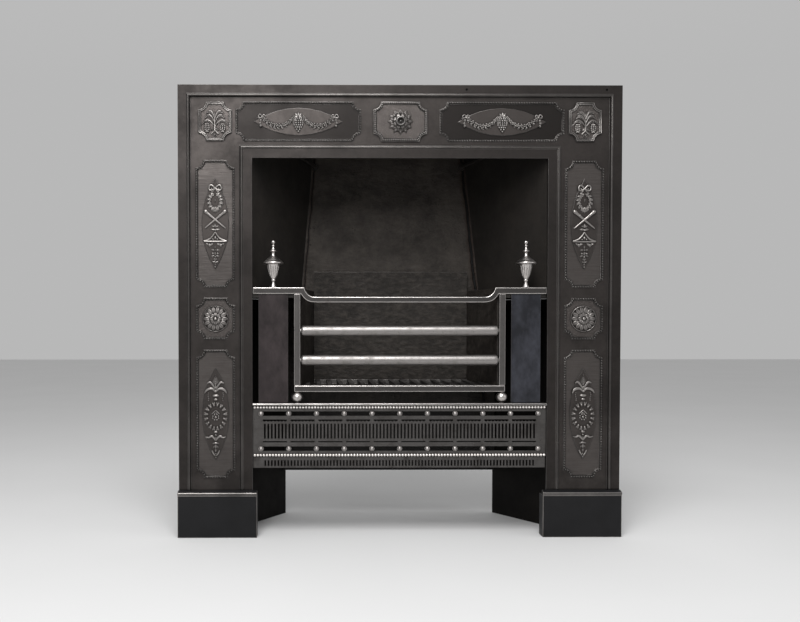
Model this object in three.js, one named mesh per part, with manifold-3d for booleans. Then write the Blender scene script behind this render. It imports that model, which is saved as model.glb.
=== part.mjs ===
// Cast iron register fireplace: a portal casting with plinth blocks, splayed iron
// cheeks, a leaning fireback, and a coal basket with polished steel bars, rail,
// finials and pierced fret. Millimetres, +Z up, the front looks towards -Y.
import * as THREE from "three";
import { mergeVertices } from "three/addons/utils/BufferGeometryUtils.js";
import Module from "manifold-3d";

const wasm = await Module();
wasm.setup();

// ---- Driving dimensions ----------------------------------------------------

const clearance = 0.3; // between pieces that touch

// Portal casting
const frameWidth = 1002;
const frameHeight = 1021;
const jambWidth = 167;
const lintelHeight = 164;
const frameThickness = 8;
const fieldRecess = 4;
const outerBand = 19.7;
const innerBand = 20.6;
const mouldWidth = 8;
const mouldRise = 2.2;
const rimDepth = 20;
const rimThickness = 7;

// Relief on the casting
const panelSink = 1.4;
const panelEdge = 3.6; // the raised edge round a sunk panel, where its beads sit
const panelEdgeRise = 0.9;
const panelScoop = 17;
const lintelPanelMargin = 9.4;
const lintelPanelGap = 9.5;
const centrePanelWidth = 121;
const centrePanelGap = 28.5;
const plaqueWidth = 74;
const plaqueMargin = 10.5;
const plaqueRise = 2.2;
const plaqueEdge = 3.4;
const jambPanelMargin = 11.6;
const jambPanelTopGap = 5;
const jambPanelGap = 24;
const jambPanelFoot = 26.9;
const upperPanelHeight = 286;
const middlePanelHeight = 93.6;
const lensEndGap = 42;
const lensSideGap = 13.8;
const lensRise = 2.2;
const rosetteRadius = 28;
const rosetteRise = 2.6;

// Plinth blocks
const plinthHeight = 106.5;
const plinthMouldHeight = 11;
const plinthProjection = 12;
const plinthMouldRise = 3;
const plinthOuterLap = 2;
const plinthInnerLap = 10.5;
const plinthWall = 8;

// Basket
const frontPlane = 2; // front of the posts and rail, behind the face of the casting
const hobWidth = 94.3;
const postWidth = 13.7;
const postDepth = 14;
const ballFootHeight = 24.7;
const ballFootRadius = 11.8;
const bottomBarHeight = 14.5;
const barDiameter = 23.6;
const barShoulder = 1.6;
const firstBarGap = 45.6;
const barPitch = 66.8;
const railGap = 52.3;
const lowRunHeight = 12.8;
const railDrop = 21.4;
const railHeight = 14.8;
const sweepInset = 8;
const sweepLength = 25;
const basketDepth = 223;
const basketTaper = 33;
const basketPlate = 6;
const sidePlateRise = 13.8;
const backPlateThickness = 10;
const backPlateRise = 46.7;
const ledgeHeight = 4.7;
const ledgeDepth = 12;
const grateHeight = 9.2;
const grateBars = 17;
const grateBarWidth = 11;
const grateBarTaper = 1.6;
const grateRim = 10;
const grateSideGap = 2;
const grateEndGap = 1.5;

// Fret
const shelfZ = 298;
const shelfHeight = 6;
const shelfDepth = 22;
const fretHeight = 115.2;
const fretThickness = 3;
const fretFront = 3;
const fretFlange = 16;
const beadHeight = 5.6;
const beadDepth = 3;
const beadEndGap = 1.5;
const studCount = 11;
const studMargin = 18.7;
const studDiameter = 10.6;
const studRise = 5.8;
const studRowOffset = 39.9;
const longSlotHeight = 9;
const longSlotBridge = 12;
const thinSlotHeight = 3;
const thinSlotBridge = 8;
const thinSlotOffset = 24.1;
const tallSlotCount = 78;
const tallSlotMargin = 27.2;
const tallSlotWidth = 3.4;
const tallSlotHeight = 32.8;
const stripDrop = 26.3;
const stripLap = 7.5;
const stripSlotCount = 83;
const stripSlotMargin = 28.2;
const stripSlotWidth = 3.4;
const stripSlotHeight = 13.2;
const stripSlotLift = 5.2;

// Hobs, cheeks and fireback
const pilasterWidth = 67;
const pilasterThickness = 3;
const pilasterSetBack = 3;
const hobThickness = 8;
const wallThickness = 7;
const wallSet = 90;
const wallBackSpread = 40;
const wallBackLap = 14;
const cheekSet = 4;
const cheekThickness = 7;
const flangeLength = 28;
const firebackGap = 3;
const firebackThickness = 10;
const firebackBottom = 112;
const firebackBendRise = 26.8;
const firebackLean = 0.165; // millimetres back for each millimetre up
const firebackSeam = 0.8;
const throatAbove = 68;
const throatThickness = 6;

// Register flap and the stays under it
const smokeHoleHalf = 125;
const smokeHoleFront = 95;
const smokeHoleBack = 215;
const flapLap = 9;
const flapThickness = 6;
const flapRibWidth = 8;
const flapRibRise = 5;
const flapLugRise = 14;
const pivotRadius = 4.5;
const pivotRunning = 0.4;
const pivotBehind = 13;
const pivotRise = 9;
const pivotArm = 12;
const earThickness = 8;
const earGap = 2;
const stayRadius = 4;
const stayHeadRadius = 9;
const stayHeadThickness = 6;
const stayHeadDrop = 40;
const stayFrontDrop = 18;
const stayFrontInset = 37;
const stayLug = 18;

// ---- Derived positions -----------------------------------------------------

const halfFrame = frameWidth / 2;
const openingWidth = frameWidth - 2 * jambWidth;
const openingHeight = frameHeight - lintelHeight;
const halfOpening = openingWidth / 2;
const behindFrame = frameThickness + clearance;
const jambMiddle = (halfFrame + halfOpening) / 2;
const lintelMiddle = (frameHeight + openingHeight) / 2;
const mouldedBands = outerBand + innerBand + 2 * mouldWidth;
const lintelPanelHeight = lintelHeight - mouldedBands - 2 * lintelPanelMargin;
const plaqueHeight = lintelHeight - mouldedBands - 2 * plaqueMargin;
const lintelPanelInner = centrePanelWidth / 2 + centrePanelGap;
const lintelPanelOuter = jambMiddle - plaqueWidth / 2 - lintelPanelGap;
const lintelPanelWidth = lintelPanelOuter - lintelPanelInner;
const lintelPanelX = (lintelPanelOuter + lintelPanelInner) / 2;
const jambPanelWidth = jambWidth - mouldedBands - 2 * jambPanelMargin;
const upperPanelZ = openingHeight - jambPanelTopGap - upperPanelHeight / 2;
const middlePanelZ = upperPanelZ - (upperPanelHeight + middlePanelHeight) / 2 - jambPanelGap;
const lowerPanelTop = middlePanelZ - middlePanelHeight / 2 - jambPanelGap;
const lowerPanelBottom = plinthHeight + jambPanelFoot;
const lowerPanelHeight = lowerPanelTop - lowerPanelBottom;
const lowerPanelZ = (lowerPanelTop + lowerPanelBottom) / 2;

const postOuter = halfOpening - hobWidth;
const postInner = postOuter - postWidth;
const postMiddle = (postOuter + postInner) / 2;
const postBack = frontPlane + postDepth;
const basketMiddle = frontPlane + postDepth / 2;
const barRadius = barDiameter / 2;
const shelfTop = shelfZ + shelfHeight;
const bottomBarZ = shelfTop + ballFootHeight + 2 * clearance;
const bottomBarTop = bottomBarZ + bottomBarHeight;
const lowerBarZ = bottomBarTop + firstBarGap + barRadius;
const upperBarZ = lowerBarZ + barPitch;
const lowRunZ = upperBarZ + barRadius + railGap;
const lowRunTop = lowRunZ + lowRunHeight;
const railTop = lowRunTop + railDrop;
const railZ = railTop - railHeight;
const sweepStart = postInner - sweepInset;
const ledgeTop = bottomBarZ + ledgeHeight;
const backPlateFront = basketDepth;
const backPlateBack = backPlateFront + backPlateThickness;
const basketBackHalf = postInner - basketTaper;
const pilasterCentre = (postOuter + halfOpening) / 2;
const hobTop = railZ - clearance;
const hobBottom = hobTop - hobThickness;
const sidePlateTop = hobTop + sidePlateRise;
const backPlateTop = railTop + backPlateRise;

const fretWidth = openingWidth - 2 * clearance;
const fretBack = fretFront + fretThickness;
const fretTop = shelfZ - clearance;
const fretBottom = fretTop - fretHeight;
const fretMiddle = (fretTop + fretBottom) / 2;
const studPitch = (fretWidth - 2 * studMargin) / (studCount - 1);
const tallSlotPitch = (fretWidth - 2 * tallSlotMargin) / (tallSlotCount - 1);
const stripSlotPitch = (fretWidth - 2 * stripSlotMargin) / (stripSlotCount - 1);
const stripTop = fretBottom + stripLap;
const stripBottom = fretBottom - stripDrop;

const plinthOuter = halfFrame + plinthOuterLap;
const plinthInner = halfOpening - plinthInnerLap;
const plinthBodyTop = plinthHeight - plinthMouldHeight;

const firebackDepth = backPlateBack + firebackGap;
const firebackBend = hobTop + firebackBendRise;
const wallDepth = firebackDepth + wallBackLap;
const wallFront = halfOpening + wallSet;
const cheekFront = halfOpening + cheekSet;
const cheekBack = basketBackHalf + basketTaper - 2;
const wallBack = cheekBack + wallBackSpread;
const throatZ = openingHeight + throatAbove;
const throatTop = throatZ + throatThickness;
const flapHalf = smokeHoleHalf + flapLap;
const pivotY = smokeHoleBack + pivotBehind;
const pivotZ = throatTop + pivotRise;

// Depth of the fireback's front face at a height.
const firebackFace = (z) => firebackDepth + Math.max(0, z - firebackBend) * firebackLean;

// Half-widths at a depth: basket sides, hob sides and cheeks all narrow to the back.
const lineAt = (x0, y0, x1, y1) => (y) => x0 + ((x1 - x0) * (y - y0)) / (y1 - y0);
const basketSide = lineAt(postInner - 1.5, postBack, basketBackHalf, basketDepth);
const basketOutside = (y) => basketSide(y) + basketPlate;
const lowerWall = lineAt(wallFront, behindFrame, wallBack, wallDepth);
const upperCheek = lineAt(cheekFront, behindFrame, cheekBack, firebackDepth);

const stayHeadZ = throatZ - stayHeadDrop;
const stayHeadX = upperCheek(firebackFace(stayHeadZ)) - stayHeadRadius - 2;
const stayFrontX = halfOpening - stayFrontInset;
const stayFrontZ = throatZ - stayFrontDrop;

// The whole depth, front of the plinths to the back of the fireback's top.
const frontMost = -plinthProjection - plinthMouldRise;
const backMost = firebackFace(throatZ) + firebackThickness;
const centreDepth = (frontMost + backMost) / 2;

// ---- Solids ----------------------------------------------------------------

function solidOf(geometry) {
  const flat = geometry.clone();
  flat.deleteAttribute("normal");
  flat.deleteAttribute("uv");
  const merged = mergeVertices(flat, 1e-4);
  const triVerts = new Uint32Array(merged.index.array);
  const make = (order) =>
    new wasm.Manifold(
      new wasm.Mesh({
        numProp: 3,
        vertProperties: new Float32Array(merged.attributes.position.array),
        triVerts: order,
      }),
    );
  const made = make(triVerts);
  if (made.volume() >= 0) return made;
  for (let i = 0; i < triVerts.length; i += 3) {
    [triVerts[i + 1], triVerts[i + 2]] = [triVerts[i + 2], triVerts[i + 1]];
  }
  return make(triVerts);
}

function join(solids) {
  return solids.reduce((all, next) => all.add(next));
}

function box(x0, x1, y0, y1, z0, z1) {
  const block = new THREE.BoxGeometry(x1 - x0, y1 - y0, z1 - z0);
  block.translate((x0 + x1) / 2, (y0 + y1) / 2, (z0 + z1) / 2);
  return solidOf(block);
}

function shapeOf(points) {
  return new THREE.Shape(points.map(([a, b]) => new THREE.Vector2(a, b)));
}

// A shape drawn in X and Z, carried from depth y0 to depth y1.
function frontPrism(shape, y0, y1) {
  const slab = new THREE.ExtrudeGeometry(shape, { depth: y1 - y0, bevelEnabled: false });
  slab.rotateX(Math.PI / 2);
  slab.translate(0, y1, 0);
  return solidOf(slab);
}

// A shape drawn in X and Y, carried from height z0 to height z1.
function planPrism(points, z0, z1) {
  const slab = new THREE.ExtrudeGeometry(shapeOf(points), { depth: z1 - z0, bevelEnabled: false });
  slab.translate(0, 0, z0);
  return solidOf(slab);
}

// A shape drawn in Y and Z, carried from x0 to x1.
function sidePrism(points, x0, x1) {
  const slab = new THREE.ExtrudeGeometry(shapeOf(points), { depth: x1 - x0, bevelEnabled: false });
  slab.applyMatrix4(new THREE.Matrix4().makeBasis(
    new THREE.Vector3(0, 1, 0),
    new THREE.Vector3(0, 0, 1),
    new THREE.Vector3(1, 0, 0),
  ));
  slab.translate(x0, 0, 0);
  return solidOf(slab);
}

// A turned piece about the vertical, from [radius, height] pairs, base to top.
function turned(profile, segments) {
  const points = profile.map(([r, z]) => new THREE.Vector2(r, z));
  const spun = new THREE.LatheGeometry(points, segments);
  spun.rotateX(Math.PI / 2);
  return solidOf(spun);
}

function cylinderBetween(from, to, radius, segments) {
  const along = new THREE.Vector3().subVectors(to, from);
  const rod = new THREE.CylinderGeometry(radius, radius, along.length(), segments);
  rod.applyQuaternion(
    new THREE.Quaternion().setFromUnitVectors(new THREE.Vector3(0, 1, 0), along.clone().normalize()),
  );
  rod.translate((from.x + to.x) / 2, (from.y + to.y) / 2, (from.z + to.z) / 2);
  return solidOf(rod);
}

// A moulding that runs up one jamb, along the lintel and down the other jamb with
// mitred corners. The profile is [offset, depth]; offsets grow inwards when inward
// is 1 and outwards when it is -1.
function portalMoulding(profile, half, top, bottom, inward) {
  const positions = [];
  const stations = [
    (d) => [-(half - inward * d), bottom],
    (d) => [-(half - inward * d), top - inward * d],
    (d) => [half - inward * d, top - inward * d],
    (d) => [half - inward * d, bottom],
  ];
  for (const at of stations) {
    for (const [d, y] of profile) {
      const [x, z] = at(d);
      positions.push(x, y, z);
    }
  }
  const n = profile.length;
  const faces = [];
  for (let s = 0; s < stations.length - 1; s++) {
    for (let i = 0; i < n; i++) {
      const a = s * n + i;
      const b = s * n + ((i + 1) % n);
      faces.push(a, b, b + n, a, b + n, a + n);
    }
  }
  const outline = profile.map(([d, y]) => new THREE.Vector2(d, y));
  for (const [i, j, k] of THREE.ShapeUtils.triangulateShape(outline, [])) {
    const last = (stations.length - 1) * n;
    const startsRight = THREE.ShapeUtils.isClockWise(outline);
    faces.push(...(startsRight ? [i, j, k] : [i, k, j]));
    faces.push(...(startsRight ? [last + i, last + k, last + j] : [last + i, last + j, last + k]));
  }
  const tube = new THREE.BufferGeometry();
  tube.setAttribute("position", new THREE.Float32BufferAttribute(positions, 3));
  tube.setIndex(faces);
  return solidOf(tube);
}

const mirrored = (solid) => solid.mirror([1, 0, 0]);

// ---- Portal casting with its relief ----------------------------------------

// A pointed oval that fits a panel, standing upright in a tall one and lying down
// in a long one.
function lensShape(x, z, width, height) {
  const upright = height > width;
  const half = Math.max(width, height) / 2 - lensEndGap;
  const halfWide = Math.min(width, height) / 2 - lensSideGap;
  const radius = (half * half + halfWide * halfWide) / (2 * halfWide);
  const reach = Math.asin(half / radius);
  const points = [];
  const steps = 8;
  for (const side of [1, -1]) {
    for (let i = 0; i < steps; i++) {
      const angle = -reach + (2 * reach * i) / steps;
      const across = side * (radius * Math.cos(angle) - (radius - halfWide));
      const along = side * radius * Math.sin(angle);
      points.push(upright ? [x + across, z + along] : [x + along, z - across]);
    }
  }
  return shapeOf(points);
}

// A rectangle with scooped corners.
function scoopedOutline(x, z, width, height, scoop) {
  const w = width / 2;
  const h = height / 2;
  const steps = 4;
  const points = [];
  for (const [sx, sz] of [[1, 1], [-1, 1], [-1, -1], [1, -1]]) {
    const run = [];
    for (let i = 0; i <= steps; i++) {
      const angle = (Math.PI / 2) * (i / steps);
      run.push([
        x + sx * (w - scoop * Math.cos(angle)),
        z + sz * (h - scoop * Math.sin(angle)),
      ]);
    }
    points.push(...(sx * sz < 0 ? run : run.reverse()));
  }
  return points;
}

// A raised edge that follows a scooped outline.
function scoopedEdge(x, z, width, height, edge, rise) {
  const outline = shapeOf(scoopedOutline(x, z, width, height, panelScoop));
  const inner = scoopedOutline(x, z, width - 2 * edge, height - 2 * edge, panelScoop);
  outline.holes.push(new THREE.Path(inner.map(([a, b]) => new THREE.Vector2(a, b))));
  return frontPrism(outline, fieldRecess - rise, fieldRecess + panelSink + 0.5);
}

function petalDisc(x, z, radius, lobes, depth0, depth1) {
  const points = [];
  const count = lobes * 4;
  for (let i = 0; i < count; i++) {
    const angle = (2 * Math.PI * i) / count;
    const r = radius * (0.9 + 0.1 * Math.cos(lobes * angle));
    points.push([x + r * Math.cos(angle), z + r * Math.sin(angle)]);
  }
  return frontPrism(shapeOf(points), depth0, depth1);
}

// Rises from the flat band, rolls over and falls to the sunk field.
const mouldProfile = [
  [0, fieldRecess + 1],
  [0, 0.5],
  [0.08, -0.4 * mouldRise],
  [0.3, -mouldRise],
  [0.55, -mouldRise],
  [0.78, -0.36 * mouldRise],
  [0.9, 0.4 * fieldRecess],
  [1, fieldRecess],
  [1, fieldRecess + 1],
].map(([across, depth]) => [across * mouldWidth, depth]);

function portalCasting() {
  const plate = box(-halfFrame, halfFrame, 0, frameThickness, 0, frameHeight);
  const opening = box(-halfOpening, halfOpening, -5, frameThickness + 5, -5, openingHeight);
  const rimBlock = box(-halfFrame, halfFrame, frameThickness - 1, rimDepth, 0, frameHeight);
  const rimHollow = box(
    -halfFrame + rimThickness,
    halfFrame - rimThickness,
    frameThickness - 2,
    rimDepth + 1,
    -5,
    frameHeight - rimThickness,
  );
  // The sunk field between the bands starts behind the head of the plinths.
  const outerIn = outerBand + mouldWidth / 2;
  const innerOut = innerBand + mouldWidth / 2;
  const fieldOuter = box(
    -halfFrame + outerIn,
    halfFrame - outerIn,
    -5,
    fieldRecess,
    plinthBodyTop / 2,
    frameHeight - outerIn,
  );
  const fieldInner = box(
    -halfOpening - innerOut,
    halfOpening + innerOut,
    -6,
    fieldRecess + 1,
    -5,
    openingHeight + innerOut,
  );
  const outerProfile = mouldProfile.map(([d, y]) => [d + outerBand, y]);
  const innerProfile = mouldProfile.map(([d, y]) => [d + innerBand, y]);
  const casting = plate
    .subtract(opening)
    .add(rimBlock.subtract(rimHollow))
    .subtract(fieldOuter.subtract(fieldInner))
    .add(portalMoulding(outerProfile, halfFrame, frameHeight, plinthHeight + 1, 1))
    .add(portalMoulding(innerProfile, halfOpening, openingHeight, plinthHeight + 1, -1));
  const panels = panelPlaces();
  const grounds = panels.map(({ x, z, width, height }) => {
    const inner = [width - 2 * panelEdge, height - 2 * panelEdge];
    const ground = shapeOf(scoopedOutline(x, z, ...inner, panelScoop));
    return frontPrism(ground, -5, fieldRecess + panelSink);
  });
  const relief = [...panels.flatMap(panelRelief), ...plaques()];
  return casting.subtract(join(grounds)).add(join(relief));
}

// Where the panels are and what each holds: a centre panel that is bare for the
// separate rosette, a long panel on each side of it, and three down each jamb.
function panelPlaces() {
  const centre = { x: 0, z: lintelMiddle, width: centrePanelWidth, height: lintelPanelHeight };
  const places = [{ ...centre, holds: "nothing" }];
  for (const side of [-1, 1]) {
    const x = side * jambMiddle;
    const width = jambPanelWidth;
    places.push(
      { ...centre, x: side * lintelPanelX, width: lintelPanelWidth, holds: "lens" },
      { x, z: upperPanelZ, width, height: upperPanelHeight, holds: "lens" },
      { x, z: middlePanelZ, width, height: middlePanelHeight, holds: "rosette" },
      { x, z: lowerPanelZ, width, height: lowerPanelHeight, holds: "lens" },
    );
  }
  return places;
}

// What stands up in a panel: its edge, and a pointed oval or a rosette.
function panelRelief({ x, z, width, height, holds }) {
  const sunk = fieldRecess + panelSink;
  const pieces = [scoopedEdge(x, z, width, height, panelEdge, panelEdgeRise)];
  if (holds === "lens") {
    pieces.push(frontPrism(lensShape(x, z, width, height), sunk - lensRise, sunk + 0.5));
  }
  if (holds === "rosette") {
    pieces.push(
      petalDisc(x, z, rosetteRadius, 12, sunk - rosetteRise, sunk + 0.5),
      petalDisc(x, z, rosetteRadius / 2, 8, sunk - 2 * rosetteRise, sunk + 0.5),
    );
  }
  return pieces;
}

// The raised plaques at the two upper corners.
function plaques() {
  return [-jambMiddle, jambMiddle].flatMap((x) => {
    const outline = scoopedOutline(x, lintelMiddle, plaqueWidth, plaqueHeight, panelScoop);
    return [
      frontPrism(shapeOf(outline), fieldRecess - plaqueRise, fieldRecess + 0.5),
      scoopedEdge(x, lintelMiddle, plaqueWidth, plaqueHeight, plaqueEdge, 2 * plaqueRise),
    ];
  });
}

// Plinth block: front slab with a moulded head, hollow behind, with an inner
// return that wraps the edge of the jamb.
function plinth() {
  const x0 = -plinthOuter;
  const x1 = -plinthInner;
  const front = -plinthProjection;
  const back = -clearance;
  const slab = box(x0, x1, front, back, 0, plinthBodyTop + 1);
  const hollow = box(
    x0 + plinthWall,
    x1 - plinthInnerLap - plinthWall,
    front + plinthWall - 1,
    back + 1,
    -1,
    plinthBodyTop - plinthWall,
  );
  const innerReturn = box(-halfOpening + clearance, x1, back - 1, rimDepth, 0, plinthBodyTop);
  const rise = plinthMouldRise;
  const head = sidePrism(
    [
      [back, 0],
      [front, 0],
      [front - 0.4 * rise, 0.11],
      [front - rise, 0.18],
      [front - rise, 0.55],
      [front - 0.5 * rise, 0.67],
      [front, 0.73],
      [front * 0.35, 1],
      [back, 1],
    ].map(([y, share]) => [y, plinthBodyTop + share * plinthMouldHeight]),
    x0,
    x1,
  );
  return slab.subtract(hollow).add(innerReturn).add(head);
}

// ---- Basket ----------------------------------------------------------------

// The top rail: a level run over each hob, swept down to the low middle run.
function topRail() {
  const end = halfOpening - clearance;
  const steps = 8;
  const edge = (x, high, low) => {
    const t = Math.min(1, Math.max(0, (sweepStart - Math.abs(x)) / sweepLength));
    return high + (low - high) * (t * t * (3 - 2 * t));
  };
  const stations = [-end];
  for (const side of [-1, 1]) {
    for (let i = 0; i <= steps; i++) {
      const inwards = side < 0 ? i : steps - i;
      stations.push(side * (sweepStart - (sweepLength * inwards) / steps));
    }
  }
  stations.push(end);
  const top = stations.map((x) => [x, edge(x, railTop, lowRunTop)]);
  const bottom = stations.map((x) => [x, edge(x, railZ, lowRunZ)]);
  return frontPrism(shapeOf([...bottom, ...top.reverse()]), frontPlane, postBack);
}

// A round bar with a shouldered neck at each end.
function roundBar(z) {
  const end = postInner - clearance;
  const neck = postDepth / 2 - 0.4;
  const half = [
    [barRadius, end - 5.4],
    [barRadius - barShoulder, end - 3.2],
    [neck, end - 2.4],
    [neck, end],
    [0, end],
  ];
  const profile = [...half.map(([r, x]) => [r, -x]).reverse(), ...half];
  const spun = new THREE.LatheGeometry(profile.map(([a, b]) => new THREE.Vector2(a, b)), 20);
  spun.rotateZ(-Math.PI / 2);
  spun.translate(0, basketMiddle, z);
  return solidOf(spun);
}

function bottomBar() {
  const bar = box(-postOuter, postOuter, frontPlane, postBack, bottomBarZ, bottomBarTop);
  const ledgeBack = postBack + ledgeDepth;
  const half = basketSide(ledgeBack) - basketPlate;
  return bar.add(box(-half, half, postBack - 1, ledgeBack, bottomBarZ, ledgeTop));
}

function basketBackPlate() {
  const gap = clearance;
  const plate = planPrism(
    [
      [-basketSide(backPlateFront) + gap, backPlateFront],
      [basketSide(backPlateFront) - gap, backPlateFront],
      [basketSide(backPlateBack) - gap, backPlateBack],
      [-basketSide(backPlateBack) + gap, backPlateBack],
    ],
    bottomBarZ,
    backPlateTop,
  );
  const half = basketBackHalf - basketPlate;
  const ledgeFront = backPlateFront - ledgeDepth;
  return plate.add(box(-half, half, ledgeFront, backPlateFront + 1, bottomBarZ, ledgeTop));
}

function basketSidePlate() {
  const front = postBack + clearance;
  const back = backPlateBack;
  return planPrism(
    [
      [-basketSide(front), front],
      [-basketSide(back), back],
      [-basketOutside(back), back],
      [-basketOutside(front), front],
    ],
    bottomBarZ,
    sidePlateTop,
  );
}

// The loose grate: a rim at the front and the back joined by parallel bars. The
// outer bars stop where the sides close in.
function bottomGrate() {
  const front = basketMiddle + barRadius + grateEndGap;
  const back = backPlateFront - grateEndGap;
  const z0 = ledgeTop + clearance;
  const z1 = z0 + grateHeight;
  const halfFront = basketSide(front) - grateSideGap;
  const halfBack = basketSide(back) - grateSideGap;
  const outline = planPrism(
    [[-halfFront, front], [halfFront, front], [halfBack, back], [-halfBack, back]],
    z0,
    z1,
  );
  const bars = [
    box(-postInner, postInner, front, front + grateRim, z0, z1),
    box(-postInner, postInner, back - grateRim, back, z0, z1),
  ];
  const pitch = (2 * halfFront) / grateBars;
  const topHalf = grateBarWidth / 2;
  const bottomHalf = topHalf - grateBarTaper;
  for (let i = 0; i < grateBars; i++) {
    const x = (i - (grateBars - 1) / 2) * pitch;
    const outside = Math.abs(x) + topHalf > halfBack;
    const section = shapeOf([
      [x - bottomHalf, z0],
      [x + bottomHalf, z0],
      [x + topHalf, z1],
      [x - topHalf, z1],
    ]);
    bars.push(frontPrism(section, front, outside ? back - 1.5 * grateRim : back));
  }
  return join(bars).intersect(outline);
}

// ---- Fret ------------------------------------------------------------------

// A flat plate facing forwards, less its slots.
function piercedPlate(half, z0, z1, y0, y1, slots) {
  const cutters = slots.map(([x, wide, z, high]) =>
    box(x - wide / 2, x + wide / 2, y0 - 5, y1 + 5, z - high / 2, z + high / 2),
  );
  return box(-half, half, y0, y1, z0, z1).subtract(join(cutters));
}

const studX = (i) => (i - (studCount - 1) / 2) * studPitch;

// The pierced plate: long slots between the studs, thin slots above and below the
// tall slots, studs riveted on, and a flange behind each end for its screws.
function fretPlate() {
  const half = fretWidth / 2;
  const slots = [];
  for (let i = 0; i < studCount - 1; i++) {
    const middle = studX(i) + studPitch / 2;
    for (const side of [-1, 1]) {
      const rowZ = fretMiddle + side * studRowOffset;
      const thinZ = fretMiddle + side * thinSlotOffset;
      slots.push([middle, studPitch - longSlotBridge, rowZ, longSlotHeight]);
      slots.push([middle, studPitch - thinSlotBridge, thinZ, thinSlotHeight]);
    }
  }
  for (let i = 0; i < tallSlotCount; i++) {
    const x = (i - (tallSlotCount - 1) / 2) * tallSlotPitch;
    slots.push([x, tallSlotWidth, fretMiddle, tallSlotHeight]);
  }
  const pieces = [piercedPlate(half, fretBottom, fretTop, fretFront, fretBack, slots)];
  const r = studDiameter / 2;
  const dome = [
    [0, -0.2],
    [0.78, -0.2],
    [1, 0.28],
    [0.86, 0.67],
    [0.45, 0.93],
    [0, 1],
  ].map(([out, forward]) => new THREE.Vector2(out * r, forward * studRise));
  for (let i = 0; i < studCount; i++) {
    for (const side of [-1, 1]) {
      const stud = new THREE.LatheGeometry(dome, 8);
      stud.rotateX(Math.PI);
      stud.translate(studX(i), fretFront, fretMiddle + side * studRowOffset);
      pieces.push(solidOf(stud));
    }
  }
  const z0 = stripTop + 4;
  const z1 = fretTop - shelfHeight;
  const step = box(half - fretFlange, half, fretBack - 0.5, behindFrame + 1, z0, z1);
  const lap = box(half - fretFlange, half + fretFlange, behindFrame, behindFrame + fretThickness, z0, z1);
  const flange = step.add(lap);
  return join([...pieces, flange, mirrored(flange)]);
}

function fretShelf() {
  const half = fretWidth / 2;
  const round = shelfHeight / 2;
  const points = [[shelfDepth, shelfZ]];
  for (let i = 0; i <= 6; i++) {
    const angle = -Math.PI / 2 + (Math.PI * i) / 6;
    points.push([-1 - round * Math.cos(angle), shelfZ + round + round * Math.sin(angle)]);
  }
  points.push([shelfDepth, shelfTop]);
  return sidePrism(points, -half, half);
}

// The half-round rod that the row of beads is worked on.
function beadRod(z) {
  const half = fretWidth / 2 - beadEndGap;
  const back = fretFront - clearance;
  const points = [];
  for (let i = 0; i <= 6; i++) {
    const angle = -Math.PI / 2 + (Math.PI * i) / 6;
    points.push([back - beadDepth * Math.cos(angle), z + (beadHeight / 2) * Math.sin(angle)]);
  }
  return sidePrism(points, -half, half);
}

function lowerStrip() {
  const slots = [];
  for (let i = 0; i < stripSlotCount; i++) {
    const x = (i - (stripSlotCount - 1) / 2) * stripSlotPitch;
    slots.push([x, stripSlotWidth, stripBottom + stripSlotLift + stripSlotHeight / 2, stripSlotHeight]);
  }
  const front = fretBack + clearance;
  return piercedPlate(fretWidth / 2, stripBottom, stripTop, front, front + fretThickness, slots);
}

// ---- Hobs, cheeks, fireback and throat -------------------------------------

function hobPlate() {
  const gap = clearance;
  const front = behindFrame + gap;
  const back = firebackDepth - 2 * gap;
  const notch = postBack + gap;
  return planPrism(
    [
      [-postOuter - gap, front],
      [-lowerWall(front) + 1, front],
      [-lowerWall(back) + 1, back],
      [-basketOutside(back) - gap, back],
      [-basketOutside(notch) - gap, notch],
      [-postOuter - gap, notch],
    ],
    hobBottom,
    hobTop,
  );
}

// A splayed plate with a flange along the back of the casting.
function splayedPlate(line, thickness, front, back, z0, z1) {
  return planPrism(
    [
      [-line(front), front],
      [-line(back), back],
      [-line(back) - thickness, back],
      [-line(front + thickness) - thickness, front + thickness],
      [-line(front) - flangeLength, front + thickness],
      [-line(front) - flangeLength, front],
    ],
    z0,
    z1,
  );
}

function hobSide() {
  return splayedPlate(
    lowerWall,
    wallThickness,
    behindFrame,
    wallDepth,
    0,
    hobBottom - clearance,
  );
}

function cheek() {
  const back = firebackFace(throatZ) + firebackThickness;
  const plate = splayedPlate(
    upperCheek,
    cheekThickness,
    behindFrame,
    back,
    hobTop + clearance,
    throatZ - clearance,
  );
  // The back edge follows the lean of the fireback.
  const cut = sidePrism(
    [
      [firebackDepth + firebackThickness, 0],
      [firebackDepth + firebackThickness, firebackBend],
      [back, throatZ],
      [back + 50, throatZ],
      [back + 50, 0],
    ],
    -halfFrame,
    halfFrame,
  );
  return plate.subtract(cut);
}

function fireback() {
  const top = throatZ - clearance;
  const thick = firebackThickness;
  const whole = sidePrism(
    [
      [firebackDepth, firebackBottom],
      [firebackDepth, firebackBend],
      [firebackFace(top), top],
      [firebackFace(top) + thick, top],
      [firebackDepth + thick, firebackBend],
      [firebackDepth + thick, firebackBottom],
    ],
    -halfFrame,
    halfFrame,
  );
  const far = firebackFace(throatZ) + thick + 5;
  const lowerHalf = lowerWall(firebackDepth + thick) - clearance;
  const lower = box(-lowerHalf, lowerHalf, 0, far, firebackBottom - 1, hobTop);
  const seam = (y) => upperCheek(y) - firebackSeam;
  const near = firebackDepth - 10;
  const upper = planPrism(
    [[-seam(near), near], [seam(near), near], [seam(far), far], [-seam(far), far]],
    hobTop - 1,
    throatZ,
  );
  return whole.intersect(lower.add(upper));
}

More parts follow.
